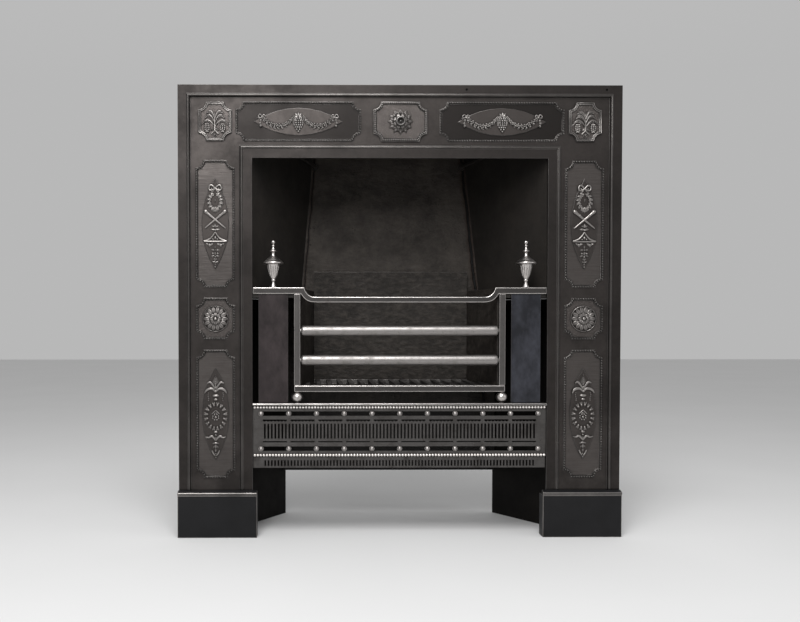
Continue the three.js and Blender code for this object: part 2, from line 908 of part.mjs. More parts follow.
function throatPlate() {
  const front = behindFrame;
  const back = backMost;
  const lap = cheekThickness;
  const plate = planPrism(
    [
      [-upperCheek(front) - lap, front],
      [upperCheek(front) + lap, front],
      [upperCheek(back) + lap, back],
      [-upperCheek(back) - lap, back],
    ],
    throatZ,
    throatTop,
  );
  const hole = box(
    -smokeHoleHalf,
    smokeHoleHalf,
    smokeHoleFront,
    smokeHoleBack,
    throatZ - 5,
    throatTop + 5,
  );
  let whole = plate.subtract(hole);
  // An open hook on each side carries the flap's pivot.
  const slot = pivotRadius + pivotRunning;
  for (const side of [-1, 1]) {
    const near = flapHalf + earGap;
    const far = near + earThickness;
    const x0 = side < 0 ? -far : near;
    const x1 = side < 0 ? -near : far;
    const reach = 2.6 * pivotRadius;
    const ear = box(x0, x1, pivotY - reach, pivotY + reach, throatTop - 1, pivotZ + pivotRadius);
    const from = new THREE.Vector3(x0 - 1, pivotY, pivotZ);
    const to = new THREE.Vector3(x1 + 1, pivotY, pivotZ);
    const round = cylinderBetween(from, to, slot, 16);
    const mouth = box(x0 - 1, x1 + 1, pivotY - slot, pivotY + slot, pivotZ, pivotZ + 2 * slot);
    whole = whole.add(ear.subtract(round).subtract(mouth));
  }
  return whole;
}

// The register flap: a ribbed plate over the smoke hole, turning on two stub
// pivots at its back corners, with a lug at the front edge for the poker.
function registerFlap() {
  const z0 = throatTop + clearance;
  const z1 = z0 + flapThickness;
  const front = smokeHoleFront - flapLap;
  const back = smokeHoleBack + flapLap / 2;
  const middle = (front + back) / 2;
  const plate = box(-flapHalf, flapHalf, front, back, z0, z1);
  const ribHalf = flapHalf - 2 * flapRibWidth;
  const rib = box(
    -ribHalf,
    ribHalf,
    middle - flapRibWidth / 2,
    middle + flapRibWidth / 2,
    z1 - 1,
    z1 + flapRibRise,
  );
  const lug = box(-flapRibWidth, flapRibWidth, front + 2, front + 10, z1 - 1, z1 + flapLugRise);
  const pieces = [plate, rib, lug];
  for (const side of [-1, 1]) {
    const tip = flapHalf + 2 * earGap + earThickness;
    const outer = new THREE.Vector3(side * tip, pivotY, pivotZ);
    const inner = new THREE.Vector3(side * (flapHalf - pivotArm), pivotY, pivotZ);
    pieces.push(cylinderBetween(inner, outer, pivotRadius, 16));
    const arm = sidePrism(
      [
        [back - 10, z0 + 0.5],
        [back, z0 + 0.5],
        [pivotY + pivotRadius - 0.5, pivotZ - 3],
        [pivotY + pivotRadius - 0.5, pivotZ + 3],
        [pivotY - 2, pivotZ + pivotRadius],
        [back - 10, z1 + 1],
      ],
      side < 0 ? -flapHalf : flapHalf - pivotArm,
      side < 0 ? -flapHalf + pivotArm : flapHalf,
    );
    pieces.push(arm);
  }
  return join(pieces);
}

// A stay: a rod from a lug behind the lintel to a round head on the fireback.
function stay() {
  const tilt = Math.atan(firebackLean);
  const normal = new THREE.Vector3(0, -Math.cos(tilt), Math.sin(tilt));
  const face = new THREE.Vector3(-stayHeadX, firebackFace(stayHeadZ), stayHeadZ);
  const out = (distance) => face.clone().addScaledVector(normal, distance);
  const start = new THREE.Vector3(-stayFrontX, behindFrame + stayHeadThickness / 2, stayFrontZ);
  const half = stayLug / 2;
  const lug = box(
    -stayFrontX - half,
    -stayFrontX + half,
    behindFrame,
    behindFrame + stayHeadThickness,
    stayFrontZ - half,
    stayFrontZ + half,
  );
  return join([
    cylinderBetween(out(clearance), out(clearance + stayHeadThickness), stayHeadRadius, 14),
    cylinderBetween(start, out(clearance + 0.6 * stayHeadThickness), stayRadius, 10),
    lug,
  ]);
}

// ---- Turned steel ----------------------------------------------------------

// Covered urn, foot to ball, as [radius, height] above the rail.
const urnProfile = [
  [0, 0],
  [8, 0],
  [8.1, 1.6],
  [6.2, 4.5],
  [4.6, 9],
  [4.2, 13.2],
  [5.8, 14.4],
  [5.8, 18.4],
  [4.8, 19.6],
  [8.4, 24],
  [11.2, 34],
  [13.2, 43],
  [15.6, 53.2],
  [22.8, 54.2],
  [23.2, 56.6],
  [21.6, 59],
  [13.6, 64.6],
  [7.6, 66.8],
  [5.6, 70],
  [3.6, 76.6],
  [5.2, 80.2],
  [7.5, 83.2],
  [7.4, 84.2],
  [3.4, 90],
  [1.9, 92.4],
  [3.9, 95.6],
  [1.9, 98.8],
  [4.3, 101],
  [4.7, 103.6],
  [3.4, 106.8],
  [0, 108],
];

function finial() {
  return turned(urnProfile, 16).translate([-pilasterCentre, basketMiddle, railTop + clearance]);
}

function ballFoot() {
  const z0 = shelfTop + clearance;
  const z1 = bottomBarZ - clearance;
  const middle = (z0 + z1) / 2;
  const half = (z1 - z0) / 2;
  const points = [[0, z0], [5.2, z0]];
  for (const lift of [-0.82, -0.5, -0.17, 0.17, 0.5, 0.82]) {
    points.push([ballFootRadius * Math.sqrt(1 - lift * lift * 0.86), middle + half * lift]);
  }
  points.push([5.2, z1], [0, z1]);
  return turned(points, 16).translate([-postMiddle, basketMiddle, 0]);
}

// The separate rosette of the centre panel, in three tiers of leaves.
function rosette() {
  const seat = fieldRecess + panelSink - clearance;
  const tier = (radius, lobes, low, high) =>
    petalDisc(0, lintelMiddle, radius, lobes, seat - high * rosetteRise, seat - low * rosetteRise);
  return join([
    tier(rosetteRadius, 12, 0, 1),
    tier(0.79 * rosetteRadius, 12, 0.8, 1.75),
    tier(0.54 * rosetteRadius, 8, 1.5, 2.45),
  ]);
}

// The ringed boss in the middle of the rosette.
function rosetteBoss() {
  const seat = fieldRecess + panelSink - 2 * clearance - 2.45 * rosetteRise;
  const profile = [
    [0, 0],
    [9.6, 0],
    [10, 2],
    [8.6, 4.4],
    [6.9, 4.8],
    [6.2, 3],
    [4, 3.2],
    [2.4, 6],
    [0, 6.6],
  ];
  const boss = new THREE.LatheGeometry(profile.map(([a, b]) => new THREE.Vector2(a, b)), 20);
  boss.rotateX(Math.PI);
  boss.translate(0, seat, lintelMiddle);
  return solidOf(boss);
}

// ---- Materials and assembly ------------------------------------------------

const finishes = {
  frameIron: { color: 0x3d3a38, roughness: 0.5, metalness: 0.55 },
  plinthIron: { color: 0x27272a, roughness: 0.45, metalness: 0.55 },
  roughIron: { color: 0x28241f, roughness: 0.85, metalness: 0.25 },
  backIron: { color: 0x332e2a, roughness: 0.8, metalness: 0.3 },
  steel: { color: 0xb8b6b2, roughness: 0.26, metalness: 0.95 },
  bluedSteel: { color: 0x3e3a40, roughness: 0.38, metalness: 0.8 },
};

const group = new THREE.Group();
group.name = "register_fireplace";
const body = new THREE.Group();
body.name = "set_to_bounding_centre";
body.position.y = -centreDepth;
group.add(body);

function place(name, solid, finish) {
  const mesh = solid.getMesh();
  const geometry = new THREE.BufferGeometry();
  const positions = new Float32Array(mesh.numVert * 3);
  for (let i = 0; i < mesh.numVert; i++) {
    for (let k = 0; k < 3; k++) {
      positions[3 * i + k] = mesh.vertProperties[mesh.numProp * i + k];
    }
  }
  geometry.setAttribute("position", new THREE.BufferAttribute(positions, 3));
  geometry.setIndex(new THREE.BufferAttribute(new Uint32Array(mesh.triVerts), 1));
  geometry.computeVertexNormals();
  const material = new THREE.MeshStandardMaterial({ ...finishes[finish], flatShading: true });
  const piece = new THREE.Mesh(geometry, material);
  piece.name = name;
  body.add(piece);
}

function placePair(name, solid, finish) {
  place(name + "_left", solid, finish);
  place(name + "_right", mirrored(solid), finish);
}

place("surround_frame", portalCasting(), "frameIron");
placePair("plinth", plinth(), "plinthIron");
place("centre_rosette", rosette(), "frameIron");
place("rosette_boss", rosetteBoss(), "frameIron");

placePair("hob_side", hobSide(), "roughIron");
placePair("hob_plate", hobPlate(), "roughIron");
placePair("cheek", cheek(), "backIron");
place("fireback", fireback(), "backIron");
place("throat_plate", throatPlate(), "roughIron");
place("register_flap", registerFlap(), "roughIron");
placePair("stay", stay(), "roughIron");

place("basket_back_plate", basketBackPlate(), "backIron");
placePair("basket_side_plate", basketSidePlate(), "roughIron");
place("bottom_grate", bottomGrate(), "roughIron");

const post = box(
  -postOuter,
  -postInner,
  frontPlane,
  postBack,
  bottomBarTop + clearance,
  railZ - clearance,
);
const pilaster = box(
  -pilasterCentre - pilasterWidth / 2,
  -pilasterCentre + pilasterWidth / 2,
  frontPlane + pilasterSetBack,
  frontPlane + pilasterSetBack + pilasterThickness,
  shelfTop + clearance,
  railZ - clearance,
);
place("bottom_bar", bottomBar(), "steel");
placePair("post", post, "steel");
place("bar_upper", roundBar(upperBarZ), "steel");
place("bar_lower", roundBar(lowerBarZ), "steel");
place("top_rail", topRail(), "steel");
placePair("ball_foot", ballFoot(), "steel");
placePair("finial", finial(), "steel");
placePair("pilaster_plate", pilaster, "bluedSteel");

place("fret_shelf", fretShelf(), "steel");
place("fret_plate", fretPlate(), "steel");
place("bead_rod_upper", beadRod(fretTop - 0.6 * beadHeight), "steel");
place("bead_rod_lower", beadRod(fretBottom + 0.54 * beadHeight), "steel");
place("fret_lower_strip", lowerStrip(), "steel");

export default group;
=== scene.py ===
import math

import bmesh
import bpy
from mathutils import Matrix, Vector


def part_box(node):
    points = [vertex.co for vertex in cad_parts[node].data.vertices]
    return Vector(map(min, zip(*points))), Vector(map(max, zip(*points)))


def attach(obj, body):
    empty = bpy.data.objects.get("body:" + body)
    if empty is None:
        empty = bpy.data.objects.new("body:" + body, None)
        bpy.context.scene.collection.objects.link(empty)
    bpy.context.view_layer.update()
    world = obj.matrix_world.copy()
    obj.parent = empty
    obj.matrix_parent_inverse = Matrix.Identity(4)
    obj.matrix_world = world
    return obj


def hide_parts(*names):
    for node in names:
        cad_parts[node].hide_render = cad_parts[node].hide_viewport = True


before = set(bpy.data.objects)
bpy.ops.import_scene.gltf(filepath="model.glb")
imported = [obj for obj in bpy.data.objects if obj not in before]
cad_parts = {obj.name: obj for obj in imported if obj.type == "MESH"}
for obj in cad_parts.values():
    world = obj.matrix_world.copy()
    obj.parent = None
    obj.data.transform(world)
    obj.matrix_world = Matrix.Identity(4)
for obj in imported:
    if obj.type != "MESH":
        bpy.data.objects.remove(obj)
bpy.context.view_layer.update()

bl_info = {
    "name": "Cast Iron Register Grate",
    "version": (1, 0, 0),
    "blender": (4, 5, 0),
    "location": "3D View > Sidebar > Fireplace",
    "description": "Dresses the iron and steel of a hob grate in a carved cast surround",
    "category": "Add Mesh",
}

MM = 0.001


def low(node):
    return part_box(node)[0] / MM


def high(node):
    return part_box(node)[1] / MM


# Depths are millimetres behind the front bands of the casting, which face -Y.
MOULD_RISE = 2.2
FACE = low("surround_frame").y + MOULD_RISE
FIELD = 4.0
GROUND = 5.4
PANEL_EDGE = 3.1
LENS_TOP = 3.2
PLAQUE_TOP = 1.8
PLAQUE_EDGE = -0.4
CENTRE_TOP = 1.4
CENTRE_EDGE = 0.6

COLUMN = 417.5  # middle of a jamb, either side
LINTEL = 939.0  # middle of the lintel
SCOOP = 17.0
PLAQUE = (74.0, 86.7)
CENTRE = (121.0, 88.9)
LONG_PANEL = (282.0, 88.9)
LONG_PANEL_X = 230.0
UPPER_PANEL = (709.0, 87.5, 286.0)
SMALL_PANEL = (495.2, 87.5, 93.6)
LOWER_PANEL = (278.9, 87.5, 291.0)


# ---------------------------------------------------------------- settings

def length(name, description, millimetres):
    return bpy.props.FloatProperty(
        name=name, description=description, default=millimetres * MM,
        min=0.0, precision=4, unit="LENGTH",
    )


def colour(name, description, value):
    return bpy.props.FloatVectorProperty(
        name=name, description=description, default=value,
        subtype="COLOR", size=3, min=0.0, max=1.0,
    )


class GrateSizes(bpy.types.PropertyGroup):
    """Sizes of the dressing"""

    arris: length("Arris", "Width of the softened edge of a casting", 0.7)
    steel_arris: length("Steel arris", "Width of the softened edge of a steel part", 0.45)
    rail_arris: length("Rail arris", "Width of the rounded edge of the rail and bar", 1.9)
    panel_bead: length("Panel bead", "Diameter of a bead round a sunk panel", 4.1)
    panel_pitch: length("Panel bead pitch", "Spacing of the beads round a sunk panel", 5.8)
    centre_bead: length("Centre bead", "Diameter of a bead round a raised panel", 4.5)
    centre_pitch: length("Centre bead pitch", "Spacing of the beads round a raised panel", 4.8)
    fillet: length("Fillet", "Width of the fine line inside a row of beads", 1.3)
    rim: length("Rim", "Width of the roll round a raised panel", 2.4)
    row_bead: length("Fret bead", "Diameter of a bead along the fret", 6.7)
    row_pitch: length("Fret bead pitch", "Spacing of the beads along the fret", 6.8)
    stud: length("Stud", "Diameter of a stud of the fret", 11.6)
    stud_pitch: length("Stud pitch", "Spacing of the studs of the fret", 63.0)
    tall_slot: length("Tall slot", "Width of a tall slot of the fret", 4.1)
    strip_slot: length("Strip slot", "Width of a slot of the lower strip", 3.9)


class GrateColours(bpy.types.PropertyGroup):
    """Colours of the finishes"""

    blacking: colour("Blacking", "Iron of the casting under its blacking", (0.037, 0.0325, 0.0305))
    rubbed: colour("Rubbed iron", "Iron where hands and brushes have polished it", (0.24, 0.225, 0.215))
    plinth: colour("Plinth", "Iron of the plinth blocks", (0.006, 0.006, 0.0066))
    burnt: colour("Burnt iron", "Iron round the fire", (0.0105, 0.009, 0.0078))
    rust: colour("Rust", "Rust in the seams of the fire chamber", (0.05, 0.02, 0.0095))
    steel: colour("Steel", "Polished steel", (0.505, 0.478, 0.462))
    tarnish: colour("Tarnish", "Steel where it has dulled", (0.13, 0.115, 0.1))
    left_plate: colour("Left plate", "Heat tint of the left pilaster", (0.0195, 0.0152, 0.0156))
    right_plate: colour("Right plate", "Heat tint of the right pilaster", (0.0165, 0.0172, 0.0215))


def sizes():
    return bpy.context.scene.grate_sizes


def colours():
    return bpy.context.scene.grate_colours


# ---------------------------------------------------------------- node helpers

def connect(tree, node, inputs):
    """Sets a node's inputs, or links those for which a socket is given."""
    for key, value in inputs.items():
        if isinstance(value, bpy.types.NodeSocket):
            tree.links.new(value, node.inputs[key])
        else:
            node.inputs[key].default_value = value
    return node


def add(tree, kind, inputs=None, **settings):
    """Adds a node, sets its properties, then sets or links its inputs."""
    made = tree.nodes.new(kind)
    for key, value in settings.items():
        setattr(made, key, value)
    return connect(tree, made, inputs or {})


def maths(tree, operation, a, b=0.0, clamp=False):
    return add(tree, "ShaderNodeMath", {0: a, 1: b}, operation=operation, use_clamp=clamp).outputs[0]


def ramp(tree, value, start, end, to_start=0.0, to_end=1.0):
    """Carries a value from one range to another, held at the ends."""
    return add(tree, "ShaderNodeMapRange", {
        "Value": value, "From Min": start, "From Max": end,
        "To Min": to_start, "To Max": to_end,
    }).outputs["Result"]


def blend(tree, amount, first, second):
    return add(tree, "ShaderNodeMix", {0: amount, 6: first, 7: second},
               data_type="RGBA").outputs[2]


def once(name, kind, takes, gives, fill):
    """The node group of this name, made and filled the first time."""
    tree = bpy.data.node_groups.get(name)
    if tree is None:
        tree = bpy.data.node_groups.new(name, kind)
        for title, socket, *value in takes:
            made = tree.interface.new_socket(title, in_out="INPUT",
                                             socket_type="NodeSocket" + socket)
            if value:
                made.default_value = value[0]
        for title, socket in gives:
            tree.interface.new_socket(title, in_out="OUTPUT", socket_type="NodeSocket" + socket)
        start, end = tree.nodes.new("NodeGroupInput"), tree.nodes.new("NodeGroupOutput")
        fill(tree, start.outputs, end.inputs)
    return tree


def noise(tree, vector, scale, detail=4.0, roughness=0.55):
    return add(tree, "ShaderNodeTexNoise", {
        "Vector": vector, "Scale": scale, "Detail": detail, "Roughness": roughness,
    }).outputs["Fac"]


def stretched(tree, vector, scale):
    return add(tree, "ShaderNodeMapping", {"Vector": vector, "Scale": scale}).outputs[0]


# ---------------------------------------------------------------- shared effects

def cast_skin():
    """Fine sand grain, low swellings and scattered pits of a sand casting."""
    def fill(tree, takes, gives):
        grain = noise(tree, takes["Vector"], 620.0, 3.0)
        swell = noise(tree, takes["Vector"], 70.0, 3.0)
        patch = noise(tree, takes["Vector"], 9.0, 9.0, 0.74)
        cells = add(tree, "ShaderNodeTexVoronoi", {"Vector": takes["Vector"], "Scale": 130.0})
        pits = ramp(tree, cells.outputs["Distance"], 0.05, 0.22, 1.0, 0.0)
        rare = ramp(tree, noise(tree, takes["Vector"], 40.0), 0.56, 0.66)
        pits = maths(tree, "MULTIPLY", pits, rare)
        height = maths(tree, "ADD", maths(tree, "MULTIPLY", grain, takes["Grain"]),
                       maths(tree, "MULTIPLY", swell, takes["Swell"]))
        height = maths(tree, "SUBTRACT", height, maths(tree, "MULTIPLY", pits, takes["Pits"]))
        tree.links.new(height, gives["Height"])
        tree.links.new(ramp(tree, patch, 0.38, 0.62), gives["Patch"])
        tree.links.new(maths(tree, "MULTIPLY", pits, takes["Pits"], True), gives["Hollow"])
    return once("Cast skin", "ShaderNodeTree", [
        ("Vector", "Vector"), ("Grain", "Float", 0.3),
        ("Swell", "Float", 0.5), ("Pits", "Float", 0.6),
    ], [("Height", "Float"), ("Patch", "Float"),
        ("Hollow", "Float")], fill)


def brush_lines():
    """Fine level lines scraped across a ground."""
    def fill(tree, takes, gives):
        lines = noise(tree, stretched(tree, takes["Vector"], (14.0, 14.0, 330.0)), 1.0, 3.0, 0.7)
        tree.links.new(ramp(tree, lines, 0.35, 0.65), gives["Lines"])
    return once("Brush lines", "ShaderNodeTree", [("Vector", "Vector")],
                [("Lines", "Float")], fill)


def punched_ground():
    """Small close dots of a stippled ground."""
    def fill(tree, takes, gives):
        cells = add(tree, "ShaderNodeTexVoronoi", {"Vector": takes["Vector"], "Scale": 430.0})
        tree.links.new(ramp(tree, cells.outputs["Distance"], 0.1, 0.5, 1.0, 0.0), gives["Dots"])
    return once("Punched ground", "ShaderNodeTree", [("Vector", "Vector")],
                [("Dots", "Float")], fill)


def steel_marks():
    """Lengthwise scratches, patches of tarnish and small pits of old polished steel."""
    def fill(tree, takes, gives):
        scratch = noise(tree, stretched(tree, takes["Vector"], takes["Grain"]), 1.0, 4.0, 0.65)
        patch = noise(tree, takes["Vector"], 34.0, 6.0, 0.62)
        cells = add(tree, "ShaderNodeTexVoronoi", {"Vector": takes["Vector"], "Scale": 240.0})
        pits = maths(tree, "MULTIPLY", ramp(tree, cells.outputs["Distance"], 0.08, 0.26, 1.0, 0.0),
                     ramp(tree, noise(tree, takes["Vector"], 60.0), 0.5, 0.62))
        tree.links.new(ramp(tree, scratch, 0.3, 0.7), gives["Scratch"])
        tree.links.new(ramp(tree, patch, 0.46, 0.72), gives["Tarnish"])
        tree.links.new(pits, gives["Pits"])
    return once("Steel marks", "ShaderNodeTree", [
        ("Vector", "Vector"), ("Grain", "Vector", (12.0, 500.0, 500.0)),
    ], [("Scratch", "Float"), ("Tarnish", "Float"),
        ("Pits", "Float")], fill)


SCREWS_X, SCREWS_Z = (149.0, 465.6), 1010.5  # millimetres across and up


def screw_holes():
    """Two fixing holes drilled through the top band, at the right."""
    def fill(tree, takes, gives):
        split = add(tree, "ShaderNodeSeparateXYZ", {0: takes["Vector"]}).outputs
        nearest = None
        for across in SCREWS_X:
            flat = add(tree, "ShaderNodeCombineXYZ", {"X": split["X"], "Z": split["Z"]}).outputs[0]
            far = add(tree, "ShaderNodeVectorMath", {0: flat, 1: (across * MM, 0.0, SCREWS_Z * MM)},
                      operation="DISTANCE").outputs["Value"]
            nearest = far if nearest is None else maths(tree, "MINIMUM", nearest, far)
        tree.links.new(ramp(tree, nearest, 0.0022, 0.0029, 1.0, 0.0), gives["Hole"])
    return once("Screw holes", "ShaderNodeTree", [("Vector", "Vector")],
                [("Hole", "Float")], fill)


def crevices():
    """How deep in a corner a point lies, from 0 in the open to 1; the finishes paint shade into corners
    by it.
    """
    def fill(tree, takes, gives):
        near = add(tree, "ShaderNodeAmbientOcclusion", {"Distance": takes["Reach"]}, samples=6)
        tree.links.new(ramp(tree, near.outputs["AO"], 0.92, 0.42), gives["Depth"])
    return once("Crevices", "ShaderNodeTree", [("Reach", "Float", 0.005)],
                [("Depth", "Float")], fill)


def use(tree, effect, **inputs):
    return add(tree, "ShaderNodeGroup", inputs, node_tree=effect).outputs


# ---------------------------------------------------------------- finishes

def scaled(value, times):
    return tuple(min(1.0, times * v) for v in value)


def tint(value, times=1.0):
    return (*scaled(value, times), 1.0)


def finish(name, paint):
    """The material of this name. paint(tree, where, shader) fills it the first time."""
    made = bpy.data.materials.get(name)
    if made is None:
        made = bpy.data.materials.new(name)
        made.use_nodes = True
        tree = made.node_tree
        shader = tree.nodes["Principled BSDF"]
        where = tree.nodes.new("ShaderNodeTexCoord").outputs["Object"]
        paint(tree, where, shader)
    return made


def bump(tree, shader, height, strength, distance):
    made = add(tree, "ShaderNodeBump", {
        "Height": height, "Strength": strength, "Distance": distance * MM,
    })
    tree.links.new(made.outputs[0], shader.inputs["Normal"])


def iron(name, base, worn, rough, grain=0.3, swell=0.5, pits=0.5, depth=0.35, extra=None,
         metal=0.0, grime=0.0, shine=0.3, reach=0.005):
    """Cast iron: base in the hollows, worn on the patches that hands reach."""
    def paint(tree, where, shader):
        skin = use(tree, cast_skin(), Vector=where, Grain=grain, Swell=swell, Pits=pits)
        tone = blend(tree, skin["Patch"], tint(base), tint(worn))
        height = skin["Height"]
        roughness = ramp(tree, skin["Patch"], 0.0, 1.0, rough + 0.08, rough - 0.05)
        if extra:
            tone, height, roughness = extra(tree, where, tone, height, roughness)
        dark = tint(base, 0.4)
        tone = blend(tree, skin["Hollow"], tone, dark)
        # Painted shade, standing also for blacking left in the hollows: the tone darkens where ambient
        # occlusion finds a corner.
        if grime:
            deep = use(tree, crevices(), Reach=reach)["Depth"]
            tone = blend(tree, maths(tree, "MULTIPLY", deep, grime), tone,
                         tint(base, 0.12))
        tree.links.new(tone, shader.inputs["Base Color"])
        tree.links.new(roughness, shader.inputs["Roughness"])
        shader.inputs["Metallic"].default_value = metal
        shader.inputs["Specular IOR Level"].default_value = shine
        bump(tree, shader, height, 0.6, depth)
    return finish(name, paint)


def blacked_iron():
    c = colours()

    def proud(tree, where, tone, height, roughness):
        forward = add(tree, "ShaderNodeSeparateXYZ", {0: where}).outputs["Y"]
        lift = ramp(tree, forward, (FACE + FIELD + 0.4) * MM, (FACE - 1.8) * MM)
        sunk = ramp(tree, forward, (FACE + FIELD + 0.6) * MM, (FACE + GROUND - 0.2) * MM)
        dull = maths(tree, "MAXIMUM", maths(tree, "MULTIPLY", lift, 0.5),
                     maths(tree, "MULTIPLY", sunk, 0.78))
        tone = blend(tree, dull, tone, tint(c.blacking, 0.4))
        hole = use(tree, screw_holes(), Vector=where)["Hole"]
        tone = blend(tree, hole, tone, (0.001, 0.001, 0.001, 1.0))
        height = maths(tree, "SUBTRACT", height, maths(tree, "MULTIPLY", hole, 3.0))
        return tone, height, roughness
    return iron("Blacked iron", scaled(c.blacking, 0.75), scaled(c.blacking, 1.45), 0.4, extra=proud,
                grime=0.9, metal=0.8)


def brushed_ground():
    c = colours()

    def lined(tree, where, tone, height, roughness):
        lines = use(tree, brush_lines(), Vector=where)["Lines"]
        tone = blend(tree, maths(tree, "MULTIPLY", lines, 0.3), tone, tint(c.rubbed, 0.5))
        height = maths(tree, "ADD", height, maths(tree, "MULTIPLY", lines, 0.8))
        return tone, height, roughness
    return iron("Brushed ground", scaled(c.blacking, 1.5), scaled(c.blacking, 2.1), 0.4,
                extra=lined, metal=0.8, grime=0.9)


def stippled_ground():
    c = colours()

    def dotted(tree, where, tone, height, roughness):
        dots = use(tree, punched_ground(), Vector=where)["Dots"]
        tone = blend(tree, maths(tree, "MULTIPLY", dots, 0.35), tone, tint(c.rubbed, 0.6))
        height = maths(tree, "ADD", height, maths(tree, "MULTIPLY", dots, 1.6))
        return tone, height, roughness
    return iron("Stippled ground", scaled(c.blacking, 1.5), scaled(c.blacking, 2.2), 0.42,
                extra=dotted, metal=0.8, grime=0.9)


def carved_iron():
    """Relief lighter on its high parts, as polish and as a painted highlight, and darker in its hollows,
    as blacking left there and as painted shade.
    """
    c = colours()

    def lifted(tree, where, tone, height, roughness):
        # Polish and painted highlight: the higher a point of the relief stands, the lighter its tone.
        lift = add(tree, "ShaderNodeAttribute", attribute_name="lift").outputs["Fac"]
        polish_and_highlight = ramp(tree, lift, 0.1, 0.8)
        tone = blend(tree, polish_and_highlight, tint(c.blacking), tint(c.rubbed, 1.15))
        roughness = ramp(tree, lift, 0.1, 1.0, 0.42, 0.3)
        return tone, height, roughness
    return iron("Carved iron", c.blacking, scaled(c.blacking, 1.3), 0.4, 0.25, 0.5, 0.3,
                extra=lifted, metal=0.9, grime=0.65, reach=0.0022)


SEAM_TOP = 0.1868  # where the fireback's edges meet the cheeks under the throat
SEAM_SPREAD = 0.0825  # and how far they spread for each metre below it
SEAM_LEVEL = 0.925
DARKEN_FROM, DARKEN_TO = 0.36, 0.27  # the heights between which the fireback darkens towards the bottom


def fireback_iron():
    """Rough plate with scale, pits and rust where the cheeks meet it."""
    c = colours()

    def seams(tree, where, tone, height, roughness):
        split = add(tree, "ShaderNodeSeparateXYZ", {0: where}).outputs
        coarse = noise(tree, where, 95.0, 6.0, 0.7)
        drawn = noise(tree, stretched(tree, where, (1.0, 1.0, 2.6)), 30.0, 6.0, 0.65)
        height = maths(tree, "ADD", height, maths(tree, "MULTIPLY", coarse, 2.2))
        height = maths(tree, "ADD", height, maths(tree, "MULTIPLY", drawn, 2.6))
        scale = ramp(tree, noise(tree, where, 13.0, 9.0, 0.78), 0.44, 0.66)
        tone = blend(tree, maths(tree, "MULTIPLY", scale, 0.65), tone, tint(c.burnt, 7.0))
        lean = maths(tree, "MULTIPLY", maths(tree, "SUBTRACT", SEAM_LEVEL, split["Z"]), SEAM_SPREAD)
        wander = maths(tree, "MULTIPLY", maths(tree, "SUBTRACT", noise(tree, where, 24.0), 0.5), 0.01)
        line = maths(tree, "ADD", maths(tree, "ADD", SEAM_TOP, lean), wander)
        for side, half in ((1.0, 0.0036), (-1.0, 0.0016)):
            off = maths(tree, "ABSOLUTE", maths(
                tree, "SUBTRACT", maths(tree, "MULTIPLY", split["X"], side), line))
            fringe = ramp(tree, off, half, half * 3.4, 0.6, 0.0)
            tone = blend(tree, fringe, tone, tint(c.rust, 0.35))
            gap = ramp(tree, off, half * 0.7, half, 1.0, 0.0)
            tone = blend(tree, gap, tone, (0.0015, 0.0013, 0.0012, 1.0))
            height = maths(tree, "SUBTRACT", height, maths(tree, "MULTIPLY", gap, 4.0))
        # The tone darkens to near black towards the bottom of the fireback, between the two heights set
        # above.
        soot = ramp(tree, split["Z"], DARKEN_FROM, DARKEN_TO)
        tone = blend(tree, maths(tree, "MULTIPLY", soot, 0.85), tone, (0.001, 0.0009, 0.0008, 1.0))
        return tone, height, roughness
    return iron("Fireback iron", scaled(c.burnt, 2.0), scaled(c.burnt, 4.0), 0.52, 0.6, 1.2, 2.0,
                1.8, extra=seams, shine=0.2)


def hammered(tree, where, tone, height, roughness):
    """Short level ridges and hollows of an old, burnt plate."""
    ridges = noise(tree, stretched(tree, where, (1.0, 1.0, 1.6)), 60.0, 7.0, 0.72)
    height = maths(tree, "ADD", height, maths(tree, "MULTIPLY", ridges, 3.6))
    light = ramp(tree, ridges, 0.44, 0.66, 0.0, 0.6)
    return blend(tree, light, tone, tint(colours().burnt, 5.6)), height, roughness


# Colour, its shares in the hollows and on the worn patches, roughness, then what differs.
PLAIN_IRONS = {
    "Rubbed arris": ("rubbed", 0.3, 0.5, 0.3, {
        "grain": 0.2, "swell": 0.4, "pits": 0.2, "metal": 0.9, "grime": 0.8}),
    "Rim iron": ("rubbed", 0.6, 1.0, 0.3, {
        "grain": 0.2, "swell": 0.3, "pits": 0.2, "metal": 0.9, "grime": 1.0}),
    "Bead iron": ("rubbed", 0.28, 0.6, 0.3, {
        "grain": 0.2, "swell": 0.3, "pits": 0.2, "metal": 0.9, "grime": 1.0}),
    "Lens ground": ("blacking", 1.15, 1.75, 0.42, {
        "grain": 0.35, "swell": 0.4, "pits": 0.3, "metal": 0.8, "grime": 0.9}),
    "Plinth iron": ("plinth", 1.0, 1.5, 0.42, {
        "grain": 0.35, "swell": 0.5, "pits": 0.4, "shine": 0.2}),
    "Plinth arris": ("rubbed", 0.5, 1.0, 0.34, {"metal": 0.9}),
    "Burnt iron": ("burnt", 1.0, 1.9, 0.55, {
        "grain": 0.5, "swell": 0.8, "pits": 0.8, "depth": 0.5}),
    # Near black and dull, for the faces of the hob sides.
    "Sooted iron": ("burnt", 0.3, 0.7, 0.6, {
        "grain": 0.5, "swell": 0.8, "pits": 0.8, "depth": 0.5, "shine": 0.12}),
    "Burnt arris": ("burnt", 1.6, 2.4, 0.55, {}),
    "Back plate iron": ("burnt", 1.3, 2.2, 0.5, {
        "grain": 0.5, "swell": 0.9, "pits": 1.4, "depth": 1.8, "extra": hammered, "shine": 0.2}),
}


def plain_iron(name):
    colour_name, base, worn, rough, more = PLAIN_IRONS[name]
    value = getattr(colours(), colour_name)
    return iron(name, scaled(value, base), scaled(value, worn), rough, **more)


def grate_iron():
    """Slats dulled by ash, with a little bare metal on top."""
    c = colours()
    return iron("Grate iron", scaled(c.burnt, 1.2), scaled(c.rubbed, 0.42), 0.6, 0.7, 0.9, 0.8, 0.5)


